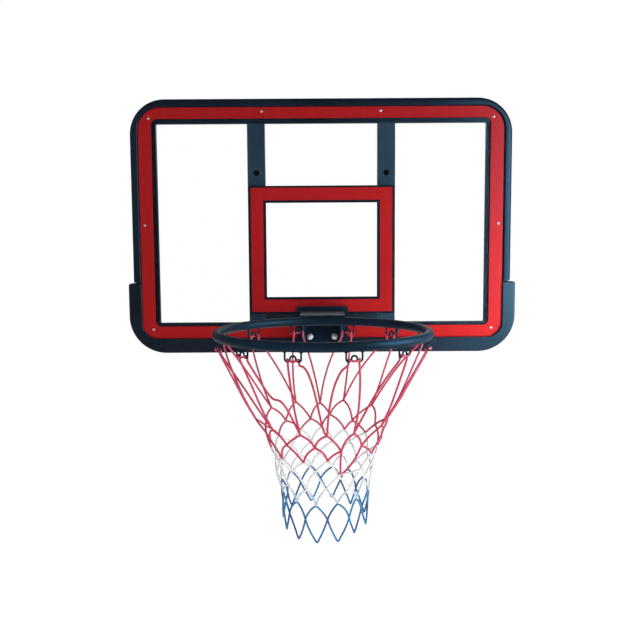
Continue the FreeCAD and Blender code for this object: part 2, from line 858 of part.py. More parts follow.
def make_net():
    """The whole net as one thin funnel with a gap between all cords."""
    half_step = 180.0 / hook_count
    spread = math.sin(math.radians(half_step))
    bottom = net_rows[-1] + cord_width / 2
    levels = [net_top] + [drop for drop, _ in net_profile if net_top < drop < bottom] + [bottom]
    outer = [(net_radius(drop) + cord_width / 2, ring_z - drop) for drop in levels]
    inner = [(net_radius(drop) - cord_width / 2, ring_z - drop) for drop in reversed(levels)]
    points = [FreeCAD.Vector(radius, ring_y, z) for radius, z in outer + inner]
    section = Part.Face(Part.makePolygon(points + points[:1]))
    funnel = section.revolve(FreeCAD.Vector(0, ring_y, 0), FreeCAD.Vector(0, 0, 1), 360)
    bar_drop = net_top + cord_width / 2
    bar_edge = ring_radius * spread - net_bar_half
    gaps = []
    for hook in hook_angles:
        between = hook + half_step
        gaps.append(net_gap(hook, [
            (-net_bar_half, bar_drop),
            (net_bar_half, bar_drop),
            (net_radius(net_rows[0]) * spread, net_rows[0]),
            (0, net_rows[1]),
            (-net_radius(net_rows[0]) * spread, net_rows[0]),
        ]))
        rise = bar_drop / (net_rows[0] - bar_drop)
        gaps.append(net_gap(between, [
            (-bar_edge * (1 + rise), 0),
            (bar_edge * (1 + rise), 0),
            (0, net_rows[0]),
        ]))
        for row in range(1, len(net_rows)):
            centre = between if row % 2 else hook
            wide = net_radius(net_rows[row]) * spread
            if row < len(net_rows) - 1:
                low = [(wide, net_rows[row]), (0, net_rows[row + 1]), (-wide, net_rows[row])]
            else:
                run = (net_rows[row] + past - net_rows[row - 1]) / (net_rows[row] - net_rows[row - 1])
                low = [(wide * run, net_rows[row] + past), (-wide * run, net_rows[row] + past)]
            gaps.append(net_gap(centre, [(0, net_rows[row - 1])] + low))
    return funnel.cut(gaps)


def net_zone(net, drop_from, drop_to):
    """Part of the net between two drops below the ring."""
    wide = 2 * ring_radius
    return net.common(block(
        -wide, wide, ring_y - wide, ring_y + wide, ring_z - drop_to, ring_z - drop_from,
    ))


def make_parts():
    net = make_net()
    net_end = net_rows[-1] + past
    return {
        "frame": make_frame(),
        "panel": make_panel(),
        "border_stripe": make_border_stripe(),
        "target_stripe": make_target_stripe(),
        "target_outline": make_target_outline(),
        "edge_guard": make_edge_guard(),
        "upright_left": make_upright(-1),
        "upright_right": make_upright(1),
        "cross_member": make_cross_member(),
        "backing_pad": make_backing_pad(),
        "ring_gasket": back_plate_slab(gasket_front, print_front),
        "ring_back_plate": back_plate_slab(plate_front, gasket_front),
        "ring_top_plate": make_top_plate(),
        "ring_gusset_left": make_gusset(-1),
        "ring_gusset_right": make_gusset(1),
        "ring": make_ring(),
        "net_hooks": Part.makeCompound([make_hook(angle) for angle in hook_angles]),
        "strut_left": make_strut(-1),
        "strut_right": make_strut(1),
        "strut_bolts": make_strut_bolts(),
        "strut_nuts": make_strut_nuts(),
        "ring_bolts": make_ring_bolts(),
        "ring_washers": make_ring_washers(),
        "ring_nuts": make_ring_nuts(),
        "panel_screws": make_panel_screws(),
        "mount_bolts": make_mount_bolts(),
        "net_red": net_zone(net, 0, net_red_end),
        "net_white": net_zone(net, net_red_end, net_white_end),
        "net_blue": net_zone(net, net_white_end, net_end),
    }


os.makedirs("parts", exist_ok=True)
for name, shape in make_parts().items():
    shape.exportStep("parts/" + name + ".step")
    print(name, len(shape.Solids), "solids", round(shape.Volume), "mm3, valid:", shape.isValid())
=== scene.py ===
"""Looks of a wall-hung basketball backboard with a hooked ring and a cord net.

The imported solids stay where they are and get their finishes. The net, the fasteners and the weld beads are modelled
here, on the places that the solids give. Lengths are in metres: X to the viewer's right, Y to the back, Z up.
"""
import logging
import math
import random
from abc import ABC, abstractmethod
from collections.abc import Iterable, Sequence
from dataclasses import dataclass, field
from enum import Enum

import bmesh
import bpy
from mathutils import Matrix, Vector


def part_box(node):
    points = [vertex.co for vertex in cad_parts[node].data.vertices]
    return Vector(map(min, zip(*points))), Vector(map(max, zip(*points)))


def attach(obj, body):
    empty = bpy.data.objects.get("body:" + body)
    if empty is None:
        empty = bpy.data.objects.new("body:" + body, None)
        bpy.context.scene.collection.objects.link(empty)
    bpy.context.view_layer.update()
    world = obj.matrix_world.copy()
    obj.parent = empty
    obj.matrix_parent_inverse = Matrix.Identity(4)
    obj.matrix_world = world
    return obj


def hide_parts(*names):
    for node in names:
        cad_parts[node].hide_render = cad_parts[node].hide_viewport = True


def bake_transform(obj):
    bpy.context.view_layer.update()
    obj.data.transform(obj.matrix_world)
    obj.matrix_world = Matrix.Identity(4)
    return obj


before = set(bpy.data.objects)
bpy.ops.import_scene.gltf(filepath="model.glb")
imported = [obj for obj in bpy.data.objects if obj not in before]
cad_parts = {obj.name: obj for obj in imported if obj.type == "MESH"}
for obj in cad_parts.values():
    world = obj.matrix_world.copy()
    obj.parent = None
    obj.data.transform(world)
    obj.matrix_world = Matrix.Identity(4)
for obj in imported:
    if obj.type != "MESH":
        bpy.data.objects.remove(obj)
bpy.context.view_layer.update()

log = logging.getLogger("backboard")

MM = 0.001

Color = tuple[float, float, float]
Place = tuple[float, float, float]
Span = tuple[float, float]
Box = tuple[Vector, Vector]
Chain = list[Vector]
Profile = list[tuple[float, float]]
Value = float | int | str | tuple | bpy.types.ID | bpy.types.NodeSocket

WHOLE: Span = (0.0, 1.0)


# Node trees


@dataclass(frozen=True)
class Socket:
    """One socket of a node group."""

    name: str
    kind: str = "NodeSocketFloat"
    default: float | None = None


class TreeBuilder:
    """Adds nodes to one node tree and links them."""

    row_length = 8
    row_step = (220, -260)

    def __init__(self, tree: bpy.types.NodeTree) -> None:
        """Starts with an empty tree.

        Args:
            tree: The tree to fill.
        """
        self.tree = tree
        tree.nodes.clear()

    def add(self, kind: str, inputs: dict[str | int, Value] | None = None, **settings: object) -> bpy.types.Node:
        """Adds a node.

        Args:
            kind: The node's type.
            inputs: Values or sockets for its inputs, by name or number.
            settings: The node's own properties, which are set first.

        Returns:
            The new node.
        """
        node = self.tree.nodes.new(kind)
        row, column = divmod(len(self.tree.nodes), self.row_length)
        node.location = (self.row_step[0] * column, self.row_step[1] * row)
        for key, value in settings.items():
            setattr(node, key, value)
        for key, value in (inputs or {}).items():
            self.feed(node.inputs[key], value)
        return node

    def feed(self, target: bpy.types.NodeSocket, value: Value) -> None:
        """Links a socket to an input, or sets the input's own value.

        Args:
            target: The input.
            value: The socket or the value.
        """
        if isinstance(value, bpy.types.NodeSocket):
            self.tree.links.new(value, target)
        else:
            target.default_value = value

    def math(self, operation: str, *operands: Value) -> bpy.types.NodeSocket:
        """Adds a math node and gives its result."""
        return self.add("ShaderNodeMath", dict(enumerate(operands)), operation=operation).outputs[0]

    def noise(self, vector: Value, scale: Value, detail: float) -> bpy.types.NodeSocket:
        """Adds a noise texture and gives its value."""
        return self.add("ShaderNodeTexNoise", {"Vector": vector, "Scale": scale, "Detail": detail}).outputs["Fac"]

    def ramp(self, value: Value, span: Span, result: Span = WHOLE) -> bpy.types.NodeSocket:
        """Adds a clamped map from one span of values to another, and gives its result."""
        return self.add("ShaderNodeMapRange", dict(enumerate((value, *span, *result)))).outputs[0]

    def mix(self, factor: Value, first: Value, second: Value, blend: str = "MIX") -> bpy.types.NodeSocket:
        """Adds a mix of two colours.

        Args:
            factor: Share of the second colour.
            first: First colour, or its socket.
            second: Second colour, or its socket.
            blend: How the second colour acts on the first.

        Returns:
            The mixed colour's socket.
        """
        inputs = {
            index: (*value, 1.0) if isinstance(value, tuple) else value
            for index, value in ((0, factor), (6, first), (7, second))
        }
        return self.add("ShaderNodeMix", inputs, data_type="RGBA", blend_type=blend).outputs[2]


def new_group(
    name: str, kind: str, inputs: Sequence[Socket], outputs: Sequence[Socket],
) -> tuple[TreeBuilder, bpy.types.Node, bpy.types.Node]:
    """Makes a node group with its sockets.

    Args:
        name: The group's name.
        kind: The tree's type.
        inputs: Its inputs.
        outputs: Its outputs.

    Returns:
        The tree's builder, and the nodes of its inputs and outputs.
    """
    tree = bpy.data.node_groups.new(name, kind)
    for sockets, way in ((inputs, "INPUT"), (outputs, "OUTPUT")):
        for socket in sockets:
            item = tree.interface.new_socket(socket.name, in_out=way, socket_type=socket.kind)
            if socket.default is not None:
                item.default_value = socket.default
    builder = TreeBuilder(tree)
    return builder, builder.add("NodeGroupInput"), builder.add("NodeGroupOutput")


class Effects:
    """Shader groups that several finishes share, and the limits of their masks."""

    patch_span: Span = (0.34, 0.66)
    dust_span: Span = (0.66, 0.74)
    dust_finer = 40.0
    edge_span: Span = (0.995, 0.86)
    rub_span: Span = (0.4, 0.62)
    bevel_samples = 4
    fibres_around = 26.0

    def __init__(self) -> None:
        """Builds the groups once."""
        self.grain = self.build_grain()
        self.wear = self.build_wear()
        self.lay = self.build_lay()

    def build_grain(self) -> bpy.types.NodeTree:
        """Fine texture of a moulded or sprayed surface, with slow patches and specks of dust.

        Returns:
            The shader group.
        """
        tree, start, end = new_group(
            "surface_grain", "ShaderNodeTree",
            [
                Socket("Vector", "NodeSocketVector"), Socket("Grain Scale", default=900.0),
                Socket("Patch Scale", default=6.0),
            ],
            [Socket("Height"), Socket("Patch"), Socket("Speck")],
        )
        vector, grain_scale, patch_scale = start.outputs[:3]
        slow = tree.noise(vector, patch_scale, 4.0)
        dust = tree.noise(vector, tree.math("MULTIPLY", patch_scale, self.dust_finer), 3.0)
        tree.feed(end.inputs["Height"], tree.noise(vector, grain_scale, 2.0))
        tree.feed(end.inputs["Patch"], tree.ramp(slow, self.patch_span))
        tree.feed(end.inputs["Speck"], tree.ramp(dust, self.dust_span))
        return tree.tree

    def build_wear(self) -> bpy.types.NodeTree:
        """Mask of a surface's outer edges, broken up as rubbing leaves them.

        Returns:
            The shader group.
        """
        tree, start, end = new_group(
            "edge_wear", "ShaderNodeTree",
            [
                Socket("Vector", "NodeSocketVector"), Socket("Radius", default=0.0015),
                Socket("Break Up", default=120.0),
            ],
            [Socket("Edge")],
        )
        vector, radius, break_up = start.outputs[:3]
        rounded = tree.add("ShaderNodeBevel", {"Radius": radius}, samples=self.bevel_samples)
        plain = tree.add("ShaderNodeNewGeometry")
        normals = {0: rounded.outputs["Normal"], 1: plain.outputs["Normal"]}
        same = tree.add("ShaderNodeVectorMath", normals, operation="DOT_PRODUCT")
        edge = tree.ramp(same.outputs["Value"], self.edge_span)
        rubbed = tree.ramp(tree.noise(vector, break_up, 4.0), self.rub_span)
        tree.feed(end.inputs["Edge"], tree.math("MULTIPLY", edge, rubbed))
        return tree.tree

    def build_lay(self) -> bpy.types.NodeTree:
        """Strands and fibres of a laid cord, from its own measures along and around.

        Returns:
            The shader group.
        """
        tree, start, end = new_group(
            "cord_lay", "ShaderNodeTree",
            [
                Socket("Along"), Socket("Around"), Socket("Strands", default=3.0),
                Socket("Fibre Scale", default=1400.0),
            ],
            [Socket("Crest"), Socket("Fibre")],
        )
        along, around, strands, fibre_scale = start.outputs[:4]
        turn = tree.math("MULTIPLY", tree.math("MULTIPLY", around, strands), math.tau)
        place = tree.add("ShaderNodeCombineXYZ", {
            0: tree.math("MULTIPLY", along, fibre_scale), 1: tree.math("MULTIPLY", around, self.fibres_around),
        })
        tree.feed(end.inputs["Crest"], tree.math("MULTIPLY_ADD", tree.math("COSINE", turn), 0.5, 0.5))
        tree.feed(end.inputs["Fibre"], tree.noise(place.outputs[0], 1.0, 2.0))
        return tree.tree


effects = Effects()


# Finishes


@dataclass(frozen=True)
class Surface:
    """A material in the making: its tree, its shader and the masks that every finish draws on."""

    tree: TreeBuilder
    shader: bpy.types.Node
    place: bpy.types.NodeSocket
    height: bpy.types.NodeSocket
    patch: bpy.types.NodeSocket
    speck: bpy.types.NodeSocket

    def tint(self, color: bpy.types.NodeSocket) -> None:
        """Feeds a colour into the shader."""
        self.tree.feed(self.shader.inputs["Base Color"], color)

    def share(self, mask: bpy.types.NodeSocket, part: float) -> bpy.types.NodeSocket:
        """Gives a part of a mask."""
        return self.tree.math("MULTIPLY", mask, part)

    def edges(self, radius: float, break_up: float) -> bpy.types.NodeSocket:
        """Gives the mask of the rubbed edges."""
        inputs = {"Vector": self.place, "Radius": radius, "Break Up": break_up}
        return self.tree.add("ShaderNodeGroup", inputs, node_tree=effects.wear).outputs["Edge"]


Masks = tuple[bpy.types.NodeSocket, bpy.types.NodeSocket]


@dataclass(frozen=True)
class Finish(ABC):
    """A surface finish; each kind fills in one Principled shader."""

    name: str
    color: Color
    roughness: float
    specular: float = 0.5
    rough_span: Span = (-0.06, 0.06)
    grain_scale: float = 1000.0
    grain_depth: float = 0.02 * MM
    grain_share: float = 1.0
    patch_scale: float = 10.0

    def material(self) -> bpy.types.Material:
        """Makes the finish's material, or gives it back where it exists.

        Returns:
            The material.
        """
        name = self.name + "_finish"
        made = bpy.data.materials.get(name)
        if made:
            return made
        made = bpy.data.materials.new(name)
        made.use_nodes = True
        tree = TreeBuilder(made.node_tree)
        shader = tree.add("ShaderNodeBsdfPrincipled", {"Specular IOR Level": self.specular})
        tree.add("ShaderNodeOutputMaterial", {"Surface": shader.outputs["BSDF"]})
        place = tree.add("ShaderNodeTexCoord").outputs["Object"]
        scales = {"Vector": place, "Grain Scale": self.grain_scale, "Patch Scale": self.patch_scale}
        grain = tree.add("ShaderNodeGroup", scales, node_tree=effects.grain)
        mask, height = self.dress(Surface(tree, shader, place, *grain.outputs[:3]))
        low, high = (self.roughness + part for part in self.rough_span)
        tree.feed(shader.inputs["Roughness"], tree.ramp(mask, WHOLE, (low, high)))
        relief = {"Height": height, "Distance": self.grain_depth, "Strength": self.grain_share}
        tree.feed(shader.inputs["Normal"], tree.add("ShaderNodeBump", relief).outputs["Normal"])
        return made

    @abstractmethod
    def dress(self, surface: Surface) -> Masks:
        """Fills in the shader's colour and its other inputs.

        Args:
            surface: The material in the making.

        Returns:
            The masks that its roughness and its relief follow.
        """

    def shade(self, factor: float) -> Color:
        """Gives the colour, made lighter or darker by a factor."""
        return tuple(min(1.0, part * factor) for part in self.color)


@dataclass(frozen=True)
class Moulding(Finish):
    """Moulded plastic with a fine grain and rubbed edges."""

    specular: float = 0.2
    rough_span: Span = (-0.05, 0.06)
    grain_scale: float = 700.0
    grain_depth: float = 0.06 * MM
    patch_scale: float = 5.0
    patch_shades: Span = (0.8, 1.25)
    dust: Color = (0.22, 0.22, 0.22)
    dust_share: float = 0.12
    edge_radius: float = 1.6 * MM
    edge_break: float = 120.0
    edge_shade: float = 3.0
    edge_share: float = 0.35

    def dress(self, surface: Surface) -> Masks:
        """Fills in patches, dust and rubbed edges.

        Args:
            surface: The material in the making.

        Returns:
            The masks that its roughness and its relief follow.
        """
        tree = surface.tree
        body = tree.mix(surface.patch, *map(self.shade, self.patch_shades))
        dusty = tree.mix(surface.share(surface.speck, self.dust_share), body, self.dust)
        edges = surface.edges(self.edge_radius, self.edge_break)
        surface.tint(tree.mix(surface.share(edges, self.edge_share), dusty, self.shade(self.edge_shade)))
        return surface.patch, surface.height


@dataclass(frozen=True)
class Paint(Finish):
    """Powder coat on steel: a soft orange peel, and thin bare edges; on the black bolts they are broad and pale, as
    painted glints.
    """

    specular: float = 0.14
    grain_scale: float = 420.0
    grain_depth: float = 0.08 * MM
    patch_scale: float = 9.0
    patch_shades: Span = (0.82, 1.2)
    edge_radius: float = 1.0 * MM
    edge_break: float = 200.0
    # On the black bolts the bare colour and its share are raised so far that the bare edges stand for painted glints.
    bare: Color = (0.20, 0.21, 0.23)
    bare_and_glint_share: float = 0.06
    coat: float = 0.05
    coat_roughness: float = 0.25

    def dress(self, surface: Surface) -> Masks:
        """Fills in patches, bare edges, which on the black bolts are painted glints, and coat.

        Args:
            surface: The material in the making.

        Returns:
            The masks that its roughness and its relief follow.
        """
        tree = surface.tree
        body = tree.mix(surface.patch, *map(self.shade, self.patch_shades))
        edges = surface.edges(self.edge_radius, self.edge_break)
        surface.tint(tree.mix(surface.share(edges, self.bare_and_glint_share), body, self.bare))
        surface.shader.inputs["Coat Weight"].default_value = self.coat
        surface.shader.inputs["Coat Roughness"].default_value = self.coat_roughness
        return surface.patch, surface.height


@dataclass(frozen=True)
class Print(Finish):
    """Ink printed on the panel, with faint streaks along the way it was drawn."""

    specular: float = 0.03
    rough_span: Span = (-0.04, 0.05)
    grain_scale: float = 1500.0
    patch_scale: float = 4.0
    streak_scale: Place = (60.0, 60.0, 4.0)
    streak_span: Span = (0.3, 0.7)
    streak_shades: Span = (0.95, 1.06)
    fade_shade: float = 0.9
    fade_share: float = 0.35

    def dress(self, surface: Surface) -> Masks:
        """Fills in streaks and faded patches.

        Args:
            surface: The material in the making.

        Returns:
            The masks that its roughness and its relief follow.
        """
        tree = surface.tree
        stretched = tree.add("ShaderNodeMapping", {"Vector": surface.place, "Scale": self.streak_scale})
        streak = tree.ramp(tree.noise(stretched.outputs[0], 1.0, 3.0), self.streak_span)
        body = tree.mix(streak, *map(self.shade, self.streak_shades))
        surface.tint(tree.mix(surface.share(surface.patch, self.fade_share), body, self.shade(self.fade_shade)))
        return surface.patch, surface.height


@dataclass(frozen=True)
class Clear(Finish):
    """Clear sheet: nearly nothing head on, a shine at a slant, and faint smears."""

    rough_span: Span = (0.0, 0.08)
    grain_scale: float = 40.0
    grain_depth: float = 0.03 * MM
    grain_share: float = 0.4
    patch_scale: float = 3.0
    opacity: float = 0.004
    slant_opacity: float = 0.5
    slant_blend: float = 0.25
    slant_power: float = 2.0

    def dress(self, surface: Surface) -> Masks:
        """Fills in colour and opacity.

        Args:
            surface: The material in the making.

        Returns:
            The masks that its roughness and its relief follow.
        """
        tree = surface.tree
        surface.shader.inputs["Base Color"].default_value = (*self.color, 1.0)
        slant = tree.add("ShaderNodeLayerWeight", {"Blend": self.slant_blend})
        steep = tree.math("POWER", slant.outputs["Facing"], self.slant_power)
        tree.feed(surface.shader.inputs["Alpha"], tree.ramp(steep, WHOLE, (self.opacity, self.slant_opacity)))
        return surface.patch, surface.height


@dataclass(frozen=True)
class Plating(Finish):
    """Plated steel with a fine grain and a slight tarnish."""

    rough_span: Span = (-0.06, 0.1)
    grain_scale: float = 2600.0
    grain_share: float = 0.6
    patch_scale: float = 160.0
    tarnish: Color = (0.45, 0.43, 0.38)
    tarnish_share: float = 0.25
    metallic: float = 1.0

    def dress(self, surface: Surface) -> Masks:
        """Fills in metal and tarnish.

        Args:
            surface: The material in the making.

        Returns:
            The masks that its roughness and its relief follow.
        """
        surface.tint(surface.tree.mix(surface.share(surface.patch, self.tarnish_share), self.color, self.tarnish))
        surface.shader.inputs["Metallic"].default_value = self.metallic
        return surface.patch, surface.height


@dataclass(frozen=True)
class Rubber(Finish):
    """Dull rubber with a bloom of dust."""

    specular: float = 0.3
    rough_span: Span = (-0.1, 0.05)
    grain_scale: float = 1100.0
    grain_depth: float = 0.1 * MM
    patch_scale: float = 30.0
    bloom_shade: float = 2.4
    bloom_share: float = 0.4

    def dress(self, surface: Surface) -> Masks:
        """Fills in the bloom.

        Args:
            surface: The material in the making.

        Returns:
            The masks that its roughness and its relief follow.
        """
        bloom = surface.share(surface.patch, self.bloom_share)
        surface.tint(surface.tree.mix(bloom, self.color, self.shade(self.bloom_shade)))
        return surface.patch, surface.height


@dataclass(frozen=True)
class Fade:
    """A zone's dye that runs into the next zone's near one height."""

    height: float
    depth: float
    color: Color
    share: float = 0.7


@dataclass(frozen=True)
class Cord(Finish):
    """Laid polyester cord: strands with painted shade in the grooves between them, fibres, two dye tones and a fuzz.
    """

    specular: float = 0.3
    rough_span: Span = (-0.1, 0.1)
    grain_scale: float = 300.0
    grain_depth: float = 0.25 * MM
    patch_scale: float = 9.0
    second: Color = (0.5, 0.5, 0.5)
    second_share: float = 0.5
    # Painted shade in the grooves between strands: its share, its span over the crest measure, its tint and how
    # strongly the tint darkens.
    groove_shade: float = 0.7
    groove_shade_span: Span = (0.6, 0.0)
    groove_shade_tint: Color = (0.45, 0.45, 0.5)
    groove_shade_strength: float = 0.75
    fibre_span: Span = (0.35, 0.75)
    fibre_shade: float = 1.5
    fibre_share: float = 0.25
    rough_fibres: Span = (0.2, 0.8)
    sheen: float = 0.25
    fades: tuple[Fade, ...] = ()

    def dress(self, surface: Surface) -> Masks:
        """Fills in dye tones, fades, painted shade in the grooves between strands, fibres and sheen.

        Args:
            surface: The material in the making.

        Returns:
            The masks that its roughness and its relief follow.
        """
        tree = surface.tree
        measures = {
            name: tree.add("ShaderNodeAttribute", attribute_name=name.lower()).outputs["Fac"]
            for name in ("Along", "Around")
        }
        crest, fibre = tree.add("ShaderNodeGroup", measures, node_tree=effects.lay).outputs[:2]
        tone = tree.mix(surface.share(surface.patch, self.second_share), self.color, self.second)
        height = tree.add("ShaderNodeSeparateXYZ", {0: surface.place}).outputs[2]
        for fade in self.fades:
            share = tree.ramp(height, (fade.height + fade.depth, fade.height), (0.0, fade.share))
            tone = tree.mix(share, tone, fade.color)
        # Painted shade: the tone is darkened where the crest measure is low, in the grooves between the strands.
        dark = tree.mix(self.groove_shade_strength, tone, self.groove_shade_tint, "MULTIPLY")
        strand_shaded = tree.mix(surface.share(tree.ramp(crest, self.groove_shade_span), self.groove_shade), tone, dark)
        lit = tree.ramp(fibre, self.fibre_span, (0.0, self.fibre_share))
        surface.tint(tree.mix(lit, strand_shaded, self.shade(self.fibre_shade)))
        surface.shader.inputs["Sheen Weight"].default_value = self.sheen
        return tree.ramp(fibre, self.rough_fibres), fibre


FRAME_PLASTIC = Moulding("frame_plastic", (0.0050, 0.0105, 0.0225), 0.40, specular=0.08)
GUARD_PLASTIC = Moulding(
    "guard_plastic", (0.0036, 0.0072, 0.0150), 0.39, grain_depth=0.09 * MM, grain_scale=520.0, specular=0.16,
)
PANEL_CLEAR = Clear("panel_clear", (0.60, 0.70, 0.72), 0.04)
PRINT_RED = Print("print_red", (0.41, 0.0135, 0.0155), 0.34)
PRINT_DARK = Print("print_dark", (0.010, 0.012, 0.022), 0.32)
STEEL_SLATE = Paint("steel_slate", (0.0138, 0.0360, 0.0670), 0.44)
# Painted shade: the cross member gets a darker copy of the uprights' slate paint, for the shade under the ring's
# bracket.
CROSS_SLATE_SHADED = Paint("cross_slate_shaded", (0.0065, 0.0150, 0.0280), 0.50, specular=0.08)
RING_SLATE = Paint("ring_slate", (0.0062, 0.0175, 0.0340), 0.48, coat=0.0, specular=0.06)
BOLT_BRIGHT = Plating("bolt_bright", (0.80, 0.85, 0.90), 0.32, metallic=0.2)
# Painted reflection: the panel screws' plating is tinted pink, as if it mirrored the red print around them.
SCREW_RED_REFLECTION = Plating("screw_red_reflection", (0.46, 0.30, 0.27), 0.34, tarnish_share=0.15, metallic=0.45)
# Painted glints: the black bolts' pale bare edges cover nearly all of the rubbed mask, as highlights on their heads.
BOLT_BLACK = Paint("bolt_black", (0.004, 0.005, 0.007), 0.18, bare=(0.62, 0.65, 0.68), bare_and_glint_share=0.9, coat=0.6)
ZINC = Plating("zinc", (0.62, 0.64, 0.66), 0.34, tarnish=(0.48, 0.46, 0.34), tarnish_share=0.45)
RUBBER_BLACK = Rubber("rubber_black", (0.012, 0.012, 0.013), 0.8)

CAD_FINISHES: tuple[tuple[Finish, tuple[str, ...]], ...] = (
    (FRAME_PLASTIC, ("frame",)),
    (GUARD_PLASTIC, ("edge_guard",)),
    (PANEL_CLEAR, ("panel",)),
    (PRINT_RED, ("border_stripe", "target_stripe")),
    (PRINT_DARK, ("target_outline",)),
    (STEEL_SLATE, ("upright_left", "upright_right")),
    (CROSS_SLATE_SHADED, ("cross_member",)),
    (RUBBER_BLACK, ("backing_pad", "ring_gasket")),
    (RING_SLATE, (
        "ring_back_plate", "ring_top_plate", "ring_gusset_left", "ring_gusset_right", "ring", "net_hooks",
        "strut_left", "strut_right",
    )),
)


# Meshes


def set_out(name: str, data: bpy.types.ID) -> bpy.types.Object:
    """Makes an object in the scene.

    Args:
        name: The object's name.
        data: Its mesh, light or camera.

    Returns:
        The object.
    """
    item = bpy.data.objects.new(name, data)
    bpy.context.scene.collection.objects.link(item)
    return item


def drawn(name: str, work: bmesh.types.BMesh) -> bpy.types.Mesh:
    """Makes a mesh of a finished drawing, which is then cleared away.

    Args:
        name: The mesh's name.
        work: The drawing.

    Returns:
        The mesh.
    """
    mesh = bpy.data.meshes.new(name)
    work.to_mesh(mesh)
    work.free()
    return mesh


def skeleton(name: str, chains: Iterable[Chain]) -> bpy.types.Mesh:
    """Makes a mesh of bare edges from chains of points.

    Args:
        name: The mesh's name.
        chains: The points of each run.

    Returns:
        The mesh.
    """
    points: list[Vector] = []
    edges: list[tuple[int, int]] = []
    for chain in chains:
        first = len(points)
        points.extend(chain)
        edges.extend((first + step, first + step + 1) for step in range(len(chain) - 1))
    mesh = bpy.data.meshes.new(name)
    mesh.from_pydata(points, edges, [])
    return mesh


def grown(
    name: str, carrier: bpy.types.Mesh, tree: bpy.types.NodeTree, values: dict[str, object],
) -> bpy.types.Object:
    """Runs a geometry tree on a carrier mesh and keeps the result as a plain mesh.

    Args:
        name: The new piece's name.
        carrier: The mesh that the tree grows from.
        tree: The geometry tree.
        values: Its inputs, by name.

    Returns:
        The piece, at the origin.
    """
    holder = set_out(name + "_carrier", carrier)
    modifier = holder.modifiers.new("grow", "NODES")
    modifier.node_group = tree
    for item in tree.interface.items_tree:
        if item.item_type == "SOCKET" and item.in_out == "INPUT" and item.name in values:
            modifier[item.identifier] = values[item.name]
    graph = bpy.context.evaluated_depsgraph_get()
    mesh = bpy.data.meshes.new_from_object(
        holder.evaluated_get(graph), preserve_all_data_layers=True, depsgraph=graph,
    )
    holder.modifiers.clear()
    bpy.data.objects.remove(holder)
    mesh.name = name
    return set_out(name, mesh)


def circle(radius: float, y: float, count: int) -> list[Vector]:
    """Gives a ring of points about the Y axis; a radius of 0 gives one point.

    Args:
        radius: The ring's radius.
        y: Its depth.
        count: Points around.

    Returns:
        The points.
    """
    if radius == 0:
        return [Vector((0.0, y, 0.0))]
    angles = [math.tau * step / count for step in range(count)]
    return [Vector((radius * math.cos(angle), y, radius * math.sin(angle))) for angle in angles]


def loop(centre: Vector, across: Vector, other: Vector, steps: int) -> Chain:
    """Gives a closed run around a point.

    Args:
        centre: The point.
        across: From there to the run's start.
        other: From there to a quarter of the way round.
        steps: Parts of the run.

    Returns:
        The run's points, the first one again at the end.
    """
    angles = [math.tau * step / steps for step in range(steps + 1)]
    return [centre + across * math.cos(angle) + other * math.sin(angle) for angle in angles]


def ringed(rings: Sequence[Sequence[Vector]], closed: bool = False, crease: float = 35.0) -> bpy.types.Mesh:
    """Skins rings of points, one after another.

    Args:
        rings: Rings of equal length; a ring of one point is a pole.
        closed: Whether the last ring joins the first.
        crease: Degrees from which an edge stays sharp.

    Returns:
        The mesh, with its faces outwards and smooth.
    """
    work = bmesh.new()
    made = [[work.verts.new(point) for point in ring] for ring in rings]
    for first, second in zip(made, made[1:] + made[:1] if closed else made[1:]):
        for step in range(max(len(first), len(second))):
            corners = [
                first[step % len(first)],
                first[(step + 1) % len(first)],
                second[(step + 1) % len(second)],
                second[step % len(second)],
            ]
            unique = list(dict.fromkeys(corners))
            if len(unique) > 2:
                work.faces.new(unique)
    bmesh.ops.recalc_face_normals(work, faces=work.faces)
    mesh = drawn("turned", work)
    mesh.shade_smooth()
    mesh.set_sharp_from_angle(angle=math.radians(crease))
    return mesh


def carved(mesh: bpy.types.Mesh, cutter: bpy.types.Mesh) -> bpy.types.Mesh:
    """Cuts one closed mesh out of another.

    Args:
        mesh: What is cut.
        cutter: What is taken away.

    Returns:
        The cut mesh.
    """
    body, tool = set_out("carved_body", mesh), set_out("carved_tool", cutter)
    modifier = body.modifiers.new("carve", "BOOLEAN")
    modifier.operation = "DIFFERENCE"
    modifier.solver = "EXACT"
    modifier.use_self = True
    modifier.object = tool
    graph = bpy.context.evaluated_depsgraph_get()
    result = bpy.data.meshes.new_from_object(body.evaluated_get(graph), depsgraph=graph)
    for item in (body, tool):
        bpy.data.objects.remove(item)
    return result


def solid_boxes(node: str, reach: float = 24 * MM) -> list[Box]:
    """Finds the boxes of a node's separate fasteners, which lie apart in X and Z.

    Args:
        node: The CAD node.
        reach: More than one fastener's width, and less than their spacing.

    Returns:
        Lowest and highest corner of each, in order of X and then Z.
    """
    groups: list[list[Vector]] = []
    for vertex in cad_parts[node].data.vertices:
        for group in groups:
            if abs(vertex.co.x - group[0].x) < reach and abs(vertex.co.z - group[0].z) < reach:
                group.append(vertex.co)
                break
        else:
            groups.append([vertex.co])
    boxes = [(Vector(map(min, zip(*group))), Vector(map(max, zip(*group)))) for group in groups]
    return sorted(boxes, key=lambda box: (round(box[0].x, 4), round(box[0].z, 4)))


def settle(piece: bpy.types.Object, body: str, slot: str, *nodes: str) -> None:
    """Lets a piece ride on a body and stand for CAD nodes.

    Args:
        piece: The finished piece.
        body: The body's name.
        slot: The record's material slot; not used.
        nodes: The CAD nodes that it stands for.
    """
    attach(piece, body)
    if nodes:
        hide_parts(*nodes)
    log.info("%s: %d faces on %s", piece.name, len(piece.data.polygons), body)


# Geometry trees


